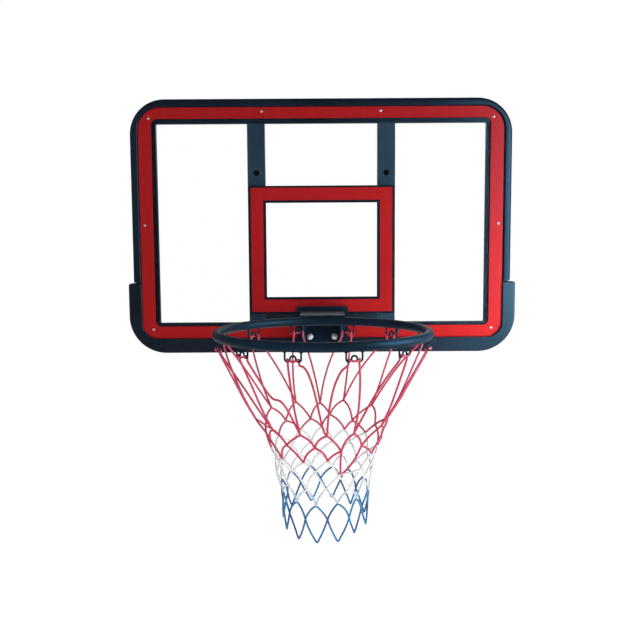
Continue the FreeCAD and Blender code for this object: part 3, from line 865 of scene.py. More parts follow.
class GrowthTree:
    """A geometry tree that grows a piece from a carrier mesh and ends in plain geometry with its finish."""

    def __init__(self, name: str, *inputs: Socket) -> None:
        """Makes the tree's sockets.

        Args:
            name: The tree's name.
            inputs: Its inputs, besides the carrier and the finish.
        """
        shape = Socket("Geometry", "NodeSocketGeometry")
        finish = Socket("Finish", "NodeSocketMaterial")
        self.tree, self.start, self.end = new_group(name, "GeometryNodeTree", [shape, *inputs, finish], [shape])

    def given(self, name: str) -> bpy.types.NodeSocket:
        """Gives one of the tree's inputs."""
        return self.start.outputs[name]

    def shape_of(self, name: str) -> bpy.types.NodeSocket:
        """Gives the shape of an object that is one of the tree's inputs."""
        return self.tree.add("GeometryNodeObjectInfo", {"Object": self.given(name)}).outputs["Geometry"]

    def chance(self, low: Value, high: Value, seed: str) -> bpy.types.NodeSocket:
        """Gives a random value for each point.

        Args:
            low: Lowest value.
            high: Highest value.
            seed: Name of the input with the seed.

        Returns:
            The value's socket.
        """
        inputs = {2: low, 3: high, "Seed": self.given(seed)}
        return self.tree.add("FunctionNodeRandomValue", inputs, data_type="FLOAT").outputs[1]

    def evened(self, curve: bpy.types.NodeSocket) -> bpy.types.NodeSocket:
        """Gives a curve with points at the tree's even step."""
        inputs = {"Curve": curve, "Length": self.given("Step")}
        return self.tree.add("GeometryNodeResampleCurve", inputs, mode="LENGTH").outputs[0]

    def closed(self, shape: bpy.types.NodeSocket) -> bpy.types.NodeTree:
        """Ends the tree.

        Args:
            shape: What it has grown.

        Returns:
            The tree itself.
        """
        real = self.tree.add("GeometryNodeRealizeInstances", {"Geometry": shape})
        dressing = {"Geometry": real.outputs[0], "Material": self.given("Finish")}
        self.tree.feed(self.end.inputs[0], self.tree.add("GeometryNodeSetMaterial", dressing).outputs[0])
        return self.tree.tree


def scatter_tree() -> bpy.types.NodeTree:
    """Sets one fastener on each point of a carrier, turned about its own axis by chance.

    Returns:
        The geometry tree.
    """
    grow = GrowthTree(
        "scatter_fasteners", Socket("Piece", "NodeSocketObject"), Socket("Largest Turn"),
        Socket("Seed", "NodeSocketInt"),
    )
    points = grow.tree.add("GeometryNodeMeshToPoints", {"Mesh": grow.given("Geometry")})
    turn = grow.tree.add("FunctionNodeAxisAngleToRotation", {
        "Axis": (0.0, 1.0, 0.0), "Angle": grow.chance(0.0, grow.given("Largest Turn"), "Seed"),
    })
    placed = grow.tree.add("GeometryNodeInstanceOnPoints", {
        "Points": points.outputs[0], "Instance": grow.shape_of("Piece"), "Rotation": turn.outputs[0],
    })
    return grow.closed(placed.outputs[0])


def weld_tree() -> bpy.types.NodeTree:
    """Lays a ripple of overlapping drops along each run of a carrier.

    Returns:
        The geometry tree.
    """
    grow = GrowthTree(
        "weld_bead", Socket("Step"), Socket("Drop", "NodeSocketObject"), Socket("Spread"),
        Socket("Seed", "NodeSocketInt"),
    )
    runs = grow.tree.add("GeometryNodeMeshToCurve", {"Mesh": grow.given("Geometry")})
    tangent = grow.tree.add("GeometryNodeInputTangent")
    aligned = grow.tree.add("FunctionNodeAlignRotationToVector", {"Vector": tangent.outputs[0]}, axis="X")
    least, most = (grow.tree.math(way, 1.0, grow.given("Spread")) for way in ("SUBTRACT", "ADD"))
    placed = grow.tree.add("GeometryNodeInstanceOnPoints", {
        "Points": grow.evened(runs.outputs[0]), "Instance": grow.shape_of("Drop"),
        "Rotation": aligned.outputs[0], "Scale": grow.chance(least, most, "Seed"),
    })
    return grow.closed(placed.outputs[0])


def cord_tree() -> bpy.types.NodeTree:
    """Lays a twisted cord along each run of a carrier, and ties a knot on each of its marked points.

    Returns:
        The geometry tree.
    """
    grow = GrowthTree(
        "laid_cord", Socket("Cord Radius"), Socket("Strand Depth"), Socket("Strands"), Socket("Lay Length"),
        Socket("Step"), Socket("Sides", "NodeSocketInt"), Socket("Knot", "NodeSocketObject"),
        Socket("Knot Seed", "NodeSocketInt"),
    )
    tree = grow.tree
    measure = tree.add("GeometryNodeSplineParameter")

    runs = tree.add("GeometryNodeMeshToCurve", {"Mesh": grow.given("Geometry")})
    eased = tree.add("GeometryNodeCurveSplineType", {"Curve": runs.outputs[0]}, spline_type="CATMULL_ROM")
    along = tree.add("GeometryNodeStoreNamedAttribute", {
        "Geometry": grow.evened(eased.outputs[0]), "Name": "along", "Value": measure.outputs["Length"],
    })
    lays = tree.math("DIVIDE", measure.outputs["Length"], grow.given("Lay Length"))
    twisted = tree.add("GeometryNodeSetCurveTilt", {
        "Curve": along.outputs[0], "Tilt": tree.math("MULTIPLY", lays, math.tau),
    })

    rim = tree.add("GeometryNodeCurvePrimitiveCircle", {
        "Resolution": grow.given("Sides"), "Radius": grow.given("Cord Radius"),
    })
    around = tree.add("GeometryNodeStoreNamedAttribute", {
        "Geometry": rim.outputs[0], "Name": "around", "Value": measure.outputs["Factor"],
    })
    angle = tree.math("MULTIPLY", tree.math("MULTIPLY", measure.outputs["Factor"], grow.given("Strands")), math.tau)
    lobe = tree.math("SUBTRACT", tree.math("COSINE", angle), 1.0)
    scale = tree.math("MULTIPLY_ADD", lobe, tree.math("MULTIPLY", grow.given("Strand Depth"), 0.5), 1.0)
    position = tree.add("GeometryNodeInputPosition")
    lobed = tree.add("ShaderNodeVectorMath", {0: position.outputs[0], "Scale": scale}, operation="SCALE")
    section = tree.add("GeometryNodeSetPosition", {"Geometry": around.outputs[0], "Position": lobed.outputs[0]})
    cord = tree.add("GeometryNodeCurveToMesh", {
        "Curve": twisted.outputs[0], "Profile Curve": section.outputs[0], "Fill Caps": True,
    })
    smooth = tree.add("GeometryNodeSetShadeSmooth", {"Geometry": cord.outputs[0]})

    marked = tree.add("GeometryNodeInputNamedAttribute", {"Name": "knot"}, data_type="BOOLEAN")
    points = tree.add("GeometryNodeMeshToPoints", {"Mesh": grow.given("Geometry"), "Selection": marked.outputs[0]})
    outward = tree.add("GeometryNodeInputNamedAttribute", {"Name": "outward"}, data_type="FLOAT_VECTOR")
    facing = tree.add("FunctionNodeAlignRotationToVector", {"Vector": outward.outputs[0]}, axis="Z")
    spin = tree.add("FunctionNodeAxisAngleToRotation", {
        "Axis": (0.0, 0.0, 1.0), "Angle": grow.chance(0.0, math.tau, "Knot Seed"),
    })
    turns = {0: facing.outputs[0], 1: spin.outputs[0]}
    turned = tree.add("FunctionNodeRotateRotation", turns, rotation_space="LOCAL")
    tied = tree.add("GeometryNodeInstanceOnPoints", {
        "Points": points.outputs[0], "Instance": grow.shape_of("Knot"), "Rotation": turned.outputs[0],
    })
    joined = tree.add("GeometryNodeJoinGeometry")
    for shape in (smooth, tied):
        tree.feed(joined.inputs[0], shape.outputs[0])
    return grow.closed(joined.outputs[0])


# Sub-assemblies


@dataclass
class Board:
    """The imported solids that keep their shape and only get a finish."""

    finishes: tuple[tuple[Finish, tuple[str, ...]], ...]

    def dress(self) -> None:
        """Puts each node's finish on its own material slots."""
        for finish, nodes in self.finishes:
            for node in nodes:
                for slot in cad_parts[node].material_slots:
                    slot.material = finish.material()
                log.info("%s: finish %s", node, finish.name)


class HeadShape(Enum):
    """Kinds of fastener heads."""

    DOMED = "domed"
    CROSS = "domed, with a cross recess"
    HEXAGON = "hexagon"


@dataclass(frozen=True)
class Fastener:
    """One kind of bolt or screw: its node and the sizes that its box doesn't give."""

    node: str
    head: HeadShape
    head_height: float
    shank_radius: float
    thread_pitch: float
    thread_length: float
    finish: Finish
    slot: str
    turn: float = math.tau


@dataclass(frozen=True)
class Nut:
    """One kind of nut or washer, by its node."""

    node: str
    hole_radius: float
    hexagon: bool
    finish: Finish
    slot: str
    turn: float = 0.0


@dataclass
class Fasteners:
    """Bolts, screws, nuts and washers, each kind one group on the places of its CAD node."""

    body: str = "board"
    segments: int = 36
    hexagon_segments: int = 72
    dome_steps: int = 9
    rim_edge: float = 0.25 * MM
    tip: float = 0.8 * MM
    thread_root: float = 0.6
    thread_shape: tuple[float, ...] = (0.0, 0.15, 0.55, 0.65)
    recess_depth: float = 1.5 * MM
    recess_arm: float = 0.5
    recess_width: float = 0.11
    recess_taper: float = 0.35
    face_share: float = 0.96
    chamfer: float = 32.0
    chamfer_reach: float = 1.25
    chamfer_steps: tuple[float, ...] = (0.0, 0.12, 0.3, 0.55, 0.8)
    washer_edge: float = 0.3 * MM
    nut_pitch: float = 1.0 * MM
    nut_groove: float = 0.35 * MM
    nut_mouth: float = 0.6 * MM
    tree: bpy.types.NodeTree = field(default_factory=scatter_tree)
    bolts: tuple[Fastener, ...] = (
        Fastener(
            "panel_screws", HeadShape.CROSS, 2.2 * MM, 2.1 * MM, 1.4 * MM, 11 * MM, SCREW_RED_REFLECTION, "bolt_bright",
        ),
        Fastener(
            "ring_bolts", HeadShape.DOMED, 5.5 * MM, 4.0 * MM, 1.25 * MM, 14 * MM, BOLT_BRIGHT, "bolt_bright",
        ),
        Fastener(
            "mount_bolts", HeadShape.DOMED, 4.5 * MM, 4.0 * MM, 1.25 * MM, 29 * MM, BOLT_BLACK, "bolt_black",
        ),
        Fastener(
            "strut_bolts", HeadShape.HEXAGON, 4.0 * MM, 3.0 * MM, 1.0 * MM, 9 * MM, BOLT_BLACK, "bolt_black", 0.0,
        ),
    )
    nuts: tuple[Nut, ...] = (
        Nut("ring_nuts", 4.05 * MM, True, ZINC, "zinc"),
        Nut("strut_nuts", 3.05 * MM, True, ZINC, "zinc"),
        Nut("ring_washers", 4.3 * MM, False, ZINC, "zinc"),
    )

    def build(self) -> None:
        """Builds every kind and sets it on its places."""
        for kinds, make in ((self.bolts, self.bolt_mesh), (self.nuts, self.nut_mesh)):
            for kind in kinds:
                boxes = solid_boxes(kind.node)
                low, high = boxes[0]
                self.scatter(kind, make(kind, high - low), boxes)

    def scatter(self, kind: Fastener | Nut, mesh: bpy.types.Mesh, boxes: list[Box]) -> None:
        """Sets one mesh on the places of a node's solids.

        Args:
            kind: The kind of fastener.
            mesh: Its shape, along Y, with its front at the origin.
            boxes: The solids' boxes.
        """
        node = kind.node
        sample = set_out(node + "_sample", mesh)
        places = [Vector(((low.x + high.x) / 2, low.y, (low.z + high.z) / 2)) for low, high in boxes]
        piece = grown(node + "_group", skeleton(node + "_places", [[place] for place in places]), self.tree, {
            "Piece": sample, "Largest Turn": kind.turn, "Seed": len(places), "Finish": kind.finish.material(),
        })
        bpy.data.objects.remove(sample)
        settle(piece, self.body, kind.slot, node)

    def bolt_mesh(self, bolt: Fastener, size: Vector) -> bpy.types.Mesh:
        """Turns one bolt, with its head at the front.

        Args:
            bolt: The kind of bolt.
            size: The size of one of its solids.

        Returns:
            The bolt's mesh.
        """
        shank = self.shank_profile(bolt, size.y)
        if bolt.head is HeadShape.HEXAGON:
            count = self.hexagon_segments
            head = [circle(0.0, 0.0, count), *self.hexagon_sides(size.x, bolt.head_height, False)]
            return ringed(head + [circle(*pair, count) for pair in shank])
        radius, height, edge = size.x / 2, bolt.head_height, self.rim_edge
        ball = (radius**2 + height**2) / (2 * height)
        sweep = math.asin(min(1.0, radius / ball))
        turns = [sweep * step / self.dome_steps for step in range(self.dome_steps)]
        dome = [(ball * math.sin(turn), ball - ball * math.cos(turn)) for turn in turns]
        rim = [(radius - edge, height - 2 * edge), (radius, height - edge), (radius - edge / 2, height)]
        mesh = ringed([circle(*pair, self.segments) for pair in dome + rim + shank])
        return carved(mesh, self.cross_recess(radius)) if bolt.head is HeadShape.CROSS else mesh

    def shank_profile(self, bolt: Fastener, length: float) -> Profile:
        """Gives the outline of a shank with its thread and tip.

        Args:
            bolt: The kind of bolt.
            length: Overall length.

        Returns:
            Pairs of radius and Y, from the head back to the pole at the tip.
        """
        crest, pitch, tip = bolt.shank_radius, bolt.thread_pitch, self.tip
        root = crest - self.thread_root * pitch
        start = length - bolt.thread_length
        profile = [(crest, bolt.head_height)]
        for turn in range(int((bolt.thread_length - tip) / pitch)):
            for radius, part in zip((crest, crest, root, root), self.thread_shape):
                profile.append((radius, start + turn * pitch + part * pitch))
        return profile + [(crest, length - tip), (crest - tip, length), (0.0, length)]

    def cross_recess(self, radius: float) -> bpy.types.Mesh:
        """Makes the tapered cross that is cut into a screw's head.

        Args:
            radius: The head's radius.

        Returns:
            The cutter's mesh.
        """
        arm, width, depth = self.recess_arm * radius, self.recess_width * radius, self.recess_depth
        work = bmesh.new()
        for turn in (0.0, math.pi / 2):
            cube = bmesh.ops.create_cube(work, size=2.0)["verts"]
            for vertex in cube:
                deep = vertex.co.y > 0
                reach = arm * (self.recess_taper if deep else 1.0)
                vertex.co = Vector((vertex.co.x * reach, depth if deep else -depth, vertex.co.z * width))
            bmesh.ops.rotate(work, verts=cube, cent=(0, 0, 0), matrix=Matrix.Rotation(turn, 3, "Y"))
        return drawn("cross_recess", work)

    def hexagon_ring(self, flats: float, limit: float, y: float) -> list[Vector]:
        """Gives one ring of a hexagon, cut back to a radius.

        Args:
            flats: Width across the flats.
            limit: Largest radius.
            y: The ring's depth.

        Returns:
            The ring's points.
        """
        ring = []
        for step in range(self.hexagon_segments):
            angle = math.tau * step / self.hexagon_segments
            off = (angle + math.pi / 6) % (math.pi / 3) - math.pi / 6
            radius = min(limit, flats / 2 / math.cos(off))
            ring.append(Vector((radius * math.cos(angle), y, radius * math.sin(angle))))
        return ring

    def hexagon_sides(self, flats: float, height: float, both_ends: bool) -> list[list[Vector]]:
        """Gives the rings of a hexagon's sides, with its corners turned off at the front.

        Args:
            flats: Width across the flats.
            height: Depth of the back face.
            both_ends: Whether the corners are turned off at the back too.

        Returns:
            The rings, from front to back.
        """
        face = self.face_share * flats / 2
        corner = flats / 2 * (1 / math.cos(math.pi / 6) - self.face_share) * self.chamfer_reach
        slope = math.tan(math.radians(self.chamfer))
        cone = [(face + share * corner, share * corner * slope) for share in self.chamfer_steps]
        rings = [self.hexagon_ring(flats, limit, depth) for limit, depth in cone]
        if both_ends:
            return rings + [self.hexagon_ring(flats, limit, height - depth) for limit, depth in reversed(cone)]
        return rings + [self.hexagon_ring(flats, flats, height)]

    def nut_mesh(self, nut: Nut, size: Vector) -> bpy.types.Mesh:
        """Makes one nut with a threaded hole, or one washer with round edges.

        Args:
            nut: The kind of nut.
            size: The size of one of its solids.

        Returns:
            The mesh, closed around its hole.
        """
        height, hole = size.y, nut.hole_radius
        if nut.hexagon:
            sides = self.hexagon_sides(min(size.x, size.z), height, True)
            outline = [(hole + self.nut_mouth, height)]
            for turn in range(int(height / self.nut_pitch) - 1):
                y = height - (turn + 0.5) * self.nut_pitch
                outline += [(hole, y), (hole + self.nut_groove, y - self.nut_pitch / 2)]
            outline.append((hole + self.nut_mouth, 0.0))
        else:
            sides, edge, rim = [], self.washer_edge, size.x / 2
            outline = [
                (hole, height - edge), (hole + edge, height), (rim - edge, height), (rim, height - edge),
                (rim, edge), (rim - edge, 0.0), (hole + edge, 0.0), (hole, edge),
            ]
        return ringed(sides + [circle(*pair, self.hexagon_segments) for pair in outline], closed=True)


@dataclass
class RingGeometry:
    """The ring's centre and sizes, read from its solid."""

    centre: Vector
    radius: float
    tube: float

    @classmethod
    def read(cls) -> "RingGeometry":
        """Reads the ring's box.

        Returns:
            The ring's geometry.
        """
        low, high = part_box("ring")
        tube = (high.z - low.z) / 2
        return cls((low + high) / 2, (high.x - low.x) / 2 - tube, tube)

    def at(self, angle: float, radius: float, drop: float) -> Vector:
        """Gives a point by its place about the ring's axis.

        Args:
            angle: Degrees from the front, to the viewer's right.
            radius: Distance from the axis.
            drop: Distance below the ring's middle.

        Returns:
            The point.
        """
        turn = math.radians(angle)
        return self.centre + Vector((radius * math.sin(turn), -radius * math.cos(turn), -drop))


@dataclass
class WeldBeads:
    """Weld beads where the ring, its bracket, the struts and the hooks meet."""

    ring: RingGeometry
    body: str = "board"
    step: float = 2.2 * MM
    spread: float = 0.14
    seed: int = 5
    drop_radius: float = 2.3 * MM
    drop_shape: Place = (0.75, 1.0, 0.8)
    run_steps: int = 12
    inset: float = 4 * MM
    over_tube: float = 1.2 * MM
    inward: float = 0.5 * MM
    hook_count: int = 12
    hook_leg: float = 17 * MM
    hook_wire: float = 2 * MM
    hook_lift: float = 0.2 * MM
    hook_steps: int = 8
    strut_angle: float = 128.0
    strut_radius: float = 4 * MM
    strut_lift: float = 0.4 * MM
    strut_wider: float = 0.3 * MM

    def build(self) -> None:
        """Lays all beads as one piece in the ring's paint."""
        drop = self.drop_object()
        chains = self.bracket_runs() + self.strut_runs() + self.hook_runs()
        piece = grown("weld_beads", skeleton("weld_runs", chains), weld_tree(), {
            "Step": self.step, "Drop": drop, "Spread": self.spread, "Seed": self.seed,
            "Finish": RING_SLATE.material(),
        })
        bpy.data.objects.remove(drop)
        settle(piece, self.body, "ring_slate")

    def drop_object(self) -> bpy.types.Object:
        """Makes one flat, smooth drop of weld metal.

        Returns:
            The drop's object.
        """
        work = bmesh.new()
        bmesh.ops.create_icosphere(work, subdivisions=1, radius=self.drop_radius)
        bmesh.ops.scale(work, vec=self.drop_shape, verts=work.verts)
        mesh = drawn("weld_drop", work)
        mesh.shade_smooth()
        return set_out("weld_drop", mesh)

    def bracket_runs(self) -> list[Chain]:
        """Gives the runs along the bracket's plates.

        Returns:
            The runs' points.
        """
        _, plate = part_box("ring_top_plate")
        wall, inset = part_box("ring_back_plate")[0].y, self.inset
        half = plate.x - inset
        sweep = math.degrees(math.asin(half / self.ring.radius))
        radius, over = self.ring.radius - self.inward, -self.ring.tube - self.over_tube
        shares = [2 * step / self.run_steps - 1 for step in range(self.run_steps + 1)]
        runs = [
            [self.ring.at(180 + sweep * share, radius, over) for share in shares],
            [Vector((-half, wall, plate.z)), Vector((half, wall, plate.z))],
        ]
        for node in ("ring_gusset_left", "ring_gusset_right"):
            low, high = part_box(node)
            for x in (low.x, high.x):
                runs.append([Vector((x, wall, high.z - inset)), Vector((x, wall, low.z + inset))])
                runs.append([Vector((x, wall - inset, high.z)), Vector((x, low.y + 5 * inset, high.z))])
        return runs

    def strut_runs(self) -> list[Chain]:
        """Gives a closed run around the ring's end of each strut.

        Returns:
            The runs' points.
        """
        runs = []
        for node, side in (("strut_left", -1), ("strut_right", 1)):
            low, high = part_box(node)
            foot = Vector((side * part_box("upright_right")[0].x, high.y, low.z + 2 * self.strut_radius))
            start = self.ring.at(side * self.strut_angle, self.ring.radius, 0.0)
            along = (foot - start).normalized()
            across = along.orthogonal().normalized() * (self.strut_radius + self.strut_wider)
            centre = start + along * (self.ring.tube + self.strut_lift)
            runs.append(loop(centre, across, along.cross(across), self.run_steps))
        return runs

    def hook_runs(self) -> list[Chain]:
        """Gives a short closed run around each leg of each hook.

        Returns:
            The runs' points.
        """
        runs = []
        off = math.degrees(math.atan2(self.hook_leg, self.ring.radius))
        reach = math.hypot(self.hook_leg, self.ring.radius)
        wide = self.hook_wire + self.hook_lift
        for hook in range(self.hook_count):
            angle = 360 / self.hook_count * (hook + 0.5)
            for side in (-1, 1):
                leg = self.ring.at(angle + side * off, reach, self.ring.tube - self.hook_lift)
                runs.append(loop(leg, Vector((wide, 0.0, 0.0)), Vector((0.0, wide, 0.0)), self.hook_steps))
        return runs


class Zone(Enum):
    """Dye zones of the net, from the top."""

    RED = "net_red"
    WHITE = "net_white"
    BLUE = "net_blue"


@dataclass(frozen=True)
class Knot:
    """One knot of the net: its place about the ring's axis."""

    angle: float
    radius: float
    drop: float

    def turned(self, rounds: int) -> "Knot":
        """Gives the same place, named by full turns more or less."""
        return Knot(self.angle + 360 * rounds, self.radius, self.drop)


@dataclass
class CordNet:
    """The hanging net: cord loops on the hooks, and rows of knots down to the open end."""

    ring: RingGeometry
    hooks: int = 12
    row_drops: tuple[float, ...] = (0.200, 0.234, 0.266, 0.297, 0.329, 0.3615, 0.399, 0.449)
    red_rows: int = 3
    white_rows: int = 6
    back_lift: Span = (13 * MM, 40 * MM)
    cord_radius: float = 2.75 * MM
    cord_step: float = 2.4 * MM
    strands: int = 3
    strand_depth: float = 0.26
    lay_length: float = 16 * MM
    twist: Span = (3.0, 5.0)
    squeeze: float = 8.0
    seed: int = 11
    loose_angle: float = 2.4
    loose_drop: float = 5 * MM
    loose_radius: float = 5 * MM
    hook_slack: Span = (0.0, 0.35)
    row_slack: Span = (0.15, 0.6)
    end_slack: Span = (-0.35, 0.1)
    slack_row: int = 2
    slack_index: int = 1
    slack_drop: float = 29 * MM
    slack_turn: float = -6.0
    slack_sag: float = -0.6
    loose_knot: int = 0
    loose_runs: tuple[Span, Span] = ((0.9, 0.0), (0.1, -0.14))
    wavy_hook: int = 10
    wavy_run: Span = (0.0, 0.16)
    run_steps: int = 4
    sway_reach: float = 80 * MM
    knot_size: float = 1.35 * MM
    knot_height: float = 1.1
    knot_cord: float = 0.8
    knot_steps: int = 36
    knot_sides: int = 6
    profile: tuple[tuple[float, float], ...] = (
        (0.0358, 1.0), (0.100, 0.853), (0.160, 0.718), (0.215, 0.570), (0.285, 0.462), (0.355, 0.421), (0.470, 0.392),
    )
    hook_loop: tuple[Place, ...] = (
        (-12.2, -5.0, -6.5), (-11.6, -4.7, 0.0), (-11.5, -2.0, 5.9), (-11.3, 2.0, 6.3), (-8.6, 4.6, 4.3),
        (0.0, 5.1, 2.9), (8.6, 4.6, 4.3), (11.3, 2.0, 6.3), (11.5, -2.0, 5.9), (11.6, -4.7, 0.0),
        (12.2, -5.0, -6.5),
    )
    hook_drop: float = field(init=False)
    knots: list[list[Knot]] = field(default_factory=list)

    def __post_init__(self) -> None:
        """Reads how far the hooks reach below the ring's middle."""
        self.hook_drop = self.ring.centre.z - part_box("net_hooks")[0].z

    def radius_at(self, drop: float) -> float:
        """Gives the funnel's radius at a drop below the ring.

        Args:
            drop: Distance below the ring's middle.

        Returns:
            The radius.
        """
        share = self.profile[0][1] if drop <= self.profile[0][0] else self.profile[-1][1]
        for (drop_a, share_a), (drop_b, share_b) in zip(self.profile, self.profile[1:]):
            if drop_a < drop <= drop_b:
                share = share_a + (share_b - share_a) * (drop - drop_a) / (drop_b - drop_a)
        return self.ring.radius * share

    def is_slack(self, row: int, index: int) -> bool:
        """Tells whether the cords to a place hang loose and meet there without a knot."""
        return row == self.slack_row and index == self.slack_index

    def is_end(self, row: int) -> bool:
        """Tells whether a row is the net's open end."""
        return row == len(self.row_drops) - 1

    def place_knots(self) -> None:
        """Places all knots, each a little off its regular place."""
        chance = random.Random(self.seed)
        top, bottom = self.row_drops[0], self.row_drops[-1]
        for row, drop in enumerate(self.row_drops):
            part = (drop - top) / (bottom - top)
            twist, lift = (first + (last - first) * part for first, last in (self.twist, self.back_lift))
            line = []
            for index in range(self.hooks):
                angle = 360 / self.hooks * (index + (0.5 if row % 2 else 0.0)) + twist
                angle -= self.squeeze * math.sin(2 * math.radians(angle)) * (1 - part)
                low = drop + chance.uniform(-1, 1) * self.loose_drop - lift * (1 - math.cos(math.radians(angle))) / 2
                turn = chance.uniform(-1, 1) * self.loose_angle
                off = chance.uniform(-1, 1) * self.loose_radius
                if self.is_slack(row, index):
                    low += self.slack_drop
                    turn += self.slack_turn
                line.append(Knot(angle + turn, self.radius_at(low) + off, low))
            self.knots.append(line)

    def run(self, start: Knot, end: Knot, slack: float, wave: float = 0.0) -> Chain:
        """Gives the cord between two knots: it leaves the upper one level and falls to the lower one.

        Args:
            start: The upper knot.
            end: The lower knot.
            slack: From 0, straight, to 1, a full arch; below 0 it sags instead.
            wave: How far it sags first and then arches; below 0 the other way about.

        Returns:
            The run's points.
        """
        points = []
        steps = 2 * self.run_steps if wave else self.run_steps
        for share in (step / steps for step in range(steps + 1)):
            quarter = share * math.pi / 2
            early, late = math.sin(quarter), 1 - math.cos(quarter)
            across = share + abs(slack) * ((early if slack > 0 else late) - share)
            fall = share + abs(slack) * ((late if slack > 0 else early) - share) + wave * math.sin(4 * quarter)
            drop = start.drop + (end.drop - start.drop) * fall
            lean = start.radius - self.radius_at(start.drop)
            lean += (end.radius - self.radius_at(end.drop) - lean) * share
            angle = start.angle + (end.angle - start.angle) * across
            points.append(self.ring.at(angle, self.radius_at(drop) + lean, drop))
        return points

    def hook_runs(self, chance: random.Random) -> list[Chain]:
        """Gives the cords from each hook's loop to the two knots below it.

        Args:
            chance: Source of the cords' differences.

        Returns:
            One run of points for each hook.
        """
        runs = []
        across, outward, rise = (part * MM for part in self.hook_loop[0])
        for hook in range(self.hooks):
            angle = 360 / self.hooks * (hook + 0.5)
            sides = []
            for side, below in ((-1, hook), (1, hook + 1)):
                off = math.degrees(side * abs(across) / self.ring.radius)
                top = Knot(angle + off, self.ring.radius + outward, self.hook_drop - rise)
                rounds, index = divmod(below, self.hooks)
                slack, wave = chance.uniform(*self.hook_slack), 0.0
                if index == self.loose_knot:
                    slack, wave = self.loose_runs[side > 0]
                elif side > 0 and hook == self.wavy_hook:
                    slack, wave = self.wavy_run
                sides.append(self.run(top, self.knots[0][index].turned(rounds), slack, wave)[1:])
            over = [self.loop_point(angle, *point) for point in self.hook_loop]
            runs.append(sides[0][::-1] + over + sides[1])
        return runs

    def loop_point(self, angle: float, across: float, outward: float, rise: float) -> Vector:
        """Gives a point of the loop over a hook, in millimetres from the hook's lowest place.

        Args:
            angle: The hook's place, in degrees from the front.
            across: Along the ring, to the right.
            outward: Away from the ring's axis.
            rise: Upwards.

        Returns:
            The point.
        """
        turn = math.radians(angle)
        along = Vector((math.cos(turn), math.sin(turn), 0.0))
        return self.ring.at(angle, self.ring.radius + outward * MM, self.hook_drop - rise * MM) + along * across * MM

    def zone_runs(self) -> dict[Zone, list[Chain]]:
        """Gives all cords by their dye zone.

        Returns:
            The runs of each zone.
        """
        chance = random.Random(self.seed + 1)
        runs: dict[Zone, list[Chain]] = {zone: [] for zone in Zone}
        runs[Zone.RED] += self.hook_runs(chance)
        for row in range(1, len(self.row_drops)):
            zone = runs[self.zone_of(row)]
            for index in range(self.hooks):
                left, right = (self.run_down(row, index, side, chance) for side in (-1, 1))
                unknotted = self.is_end(row) or self.is_slack(row, index)
                zone += [left + right[-2::-1]] if unknotted else [left, right]
        return runs

    def run_down(self, row: int, index: int, side: int, chance: random.Random) -> Chain:
        """Gives the cord that comes down to a knot from the row above it.

        Args:
            row: The lower row.
            index: The lower knot's number in its row.
            side: -1 for the cord from the left, 1 for the one from the right.
            chance: Source of the cord's slack.

        Returns:
            The cord's points, from the top.
        """
        rounds, above = divmod(index + row % 2 + (0 if side > 0 else -1), self.hooks)
        start = self.knots[row - 1][above].turned(rounds)
        if self.is_slack(row, index):
            slack = self.slack_sag
        else:
            slack = chance.uniform(*(self.end_slack if self.is_end(row) else self.row_slack))
        return self.run(start, self.knots[row][index], slack)

    def zone_of(self, row: int) -> Zone:
        """Gives the dye zone of a row of knots.

        Args:
            row: The row, counted from 0.

        Returns:
            The zone.
        """
        if row < self.red_rows:
            return Zone.RED
        return Zone.WHITE if row < self.white_rows else Zone.BLUE

    def carrier(self, zone: Zone, chains: list[Chain]) -> bpy.types.Mesh:
        """Makes the mesh that a zone's cords and knots grow from.

        Args:
            zone: The dye zone.
            chains: Its cords.

        Returns:
            The mesh, with marked points for the knots.
        """
        knots = [
            knot
            for row, line in enumerate(self.knots[:-1]) if self.zone_of(row) is zone
            for index, knot in enumerate(line) if not self.is_slack(row, index)
        ]
        places = [self.ring.at(knot.angle, knot.radius, knot.drop) for knot in knots]
        mesh = skeleton(zone.value + "_runs", chains + [[place] for place in places])
        marked = mesh.attributes.new("knot", "BOOLEAN", "POINT")
        outward = mesh.attributes.new("outward", "FLOAT_VECTOR", "POINT")
        for index, place in enumerate(places, len(mesh.vertices) - len(places)):
            marked.data[index].value = True
            away = place - self.ring.centre
            outward.data[index].vector = Vector((away.x, away.y, 0.0)).normalized()
        return mesh

    def knot_path(self, turn: float) -> Vector:
        """Gives a point of an overhand knot's line.

        Args:
            turn: How far along the line, a full turn for all of it.

        Returns:
            The point.
        """
        wide = 2 + math.cos(3 * turn)
        return self.knot_size * Vector((
            wide * math.cos(2 * turn), wide * math.sin(2 * turn), self.knot_height * math.sin(3 * turn),
        ))

    def knot_object(self) -> bpy.types.Object:
        """Makes one tight overhand knot of the same cord.

        Returns:
            The knot's object, with its flat side along Z.
        """
        sides, rings, nearby = self.knot_sides, [], 0.01
        for turn in (math.tau * step / self.knot_steps for step in range(self.knot_steps)):
            ahead = (self.knot_path(turn + nearby) - self.knot_path(turn - nearby)).normalized()
            across = ahead.cross(Vector((0.0, 0.0, 1.0))).normalized() * self.knot_cord * self.cord_radius
            rings.append(loop(self.knot_path(turn), across, across.cross(ahead), sides)[:-1])
        mesh = ringed(rings, closed=True)
        mesh.shade_smooth()
        indices = range(len(mesh.vertices))
        measures = {
            "along": [index // sides * MM for index in indices],
            "around": [index % sides / sides for index in indices],
        }
        for name, values in measures.items():
            mesh.attributes.new(name, "FLOAT", "POINT").data.foreach_set("value", values)
        return set_out("cord_knot", mesh)

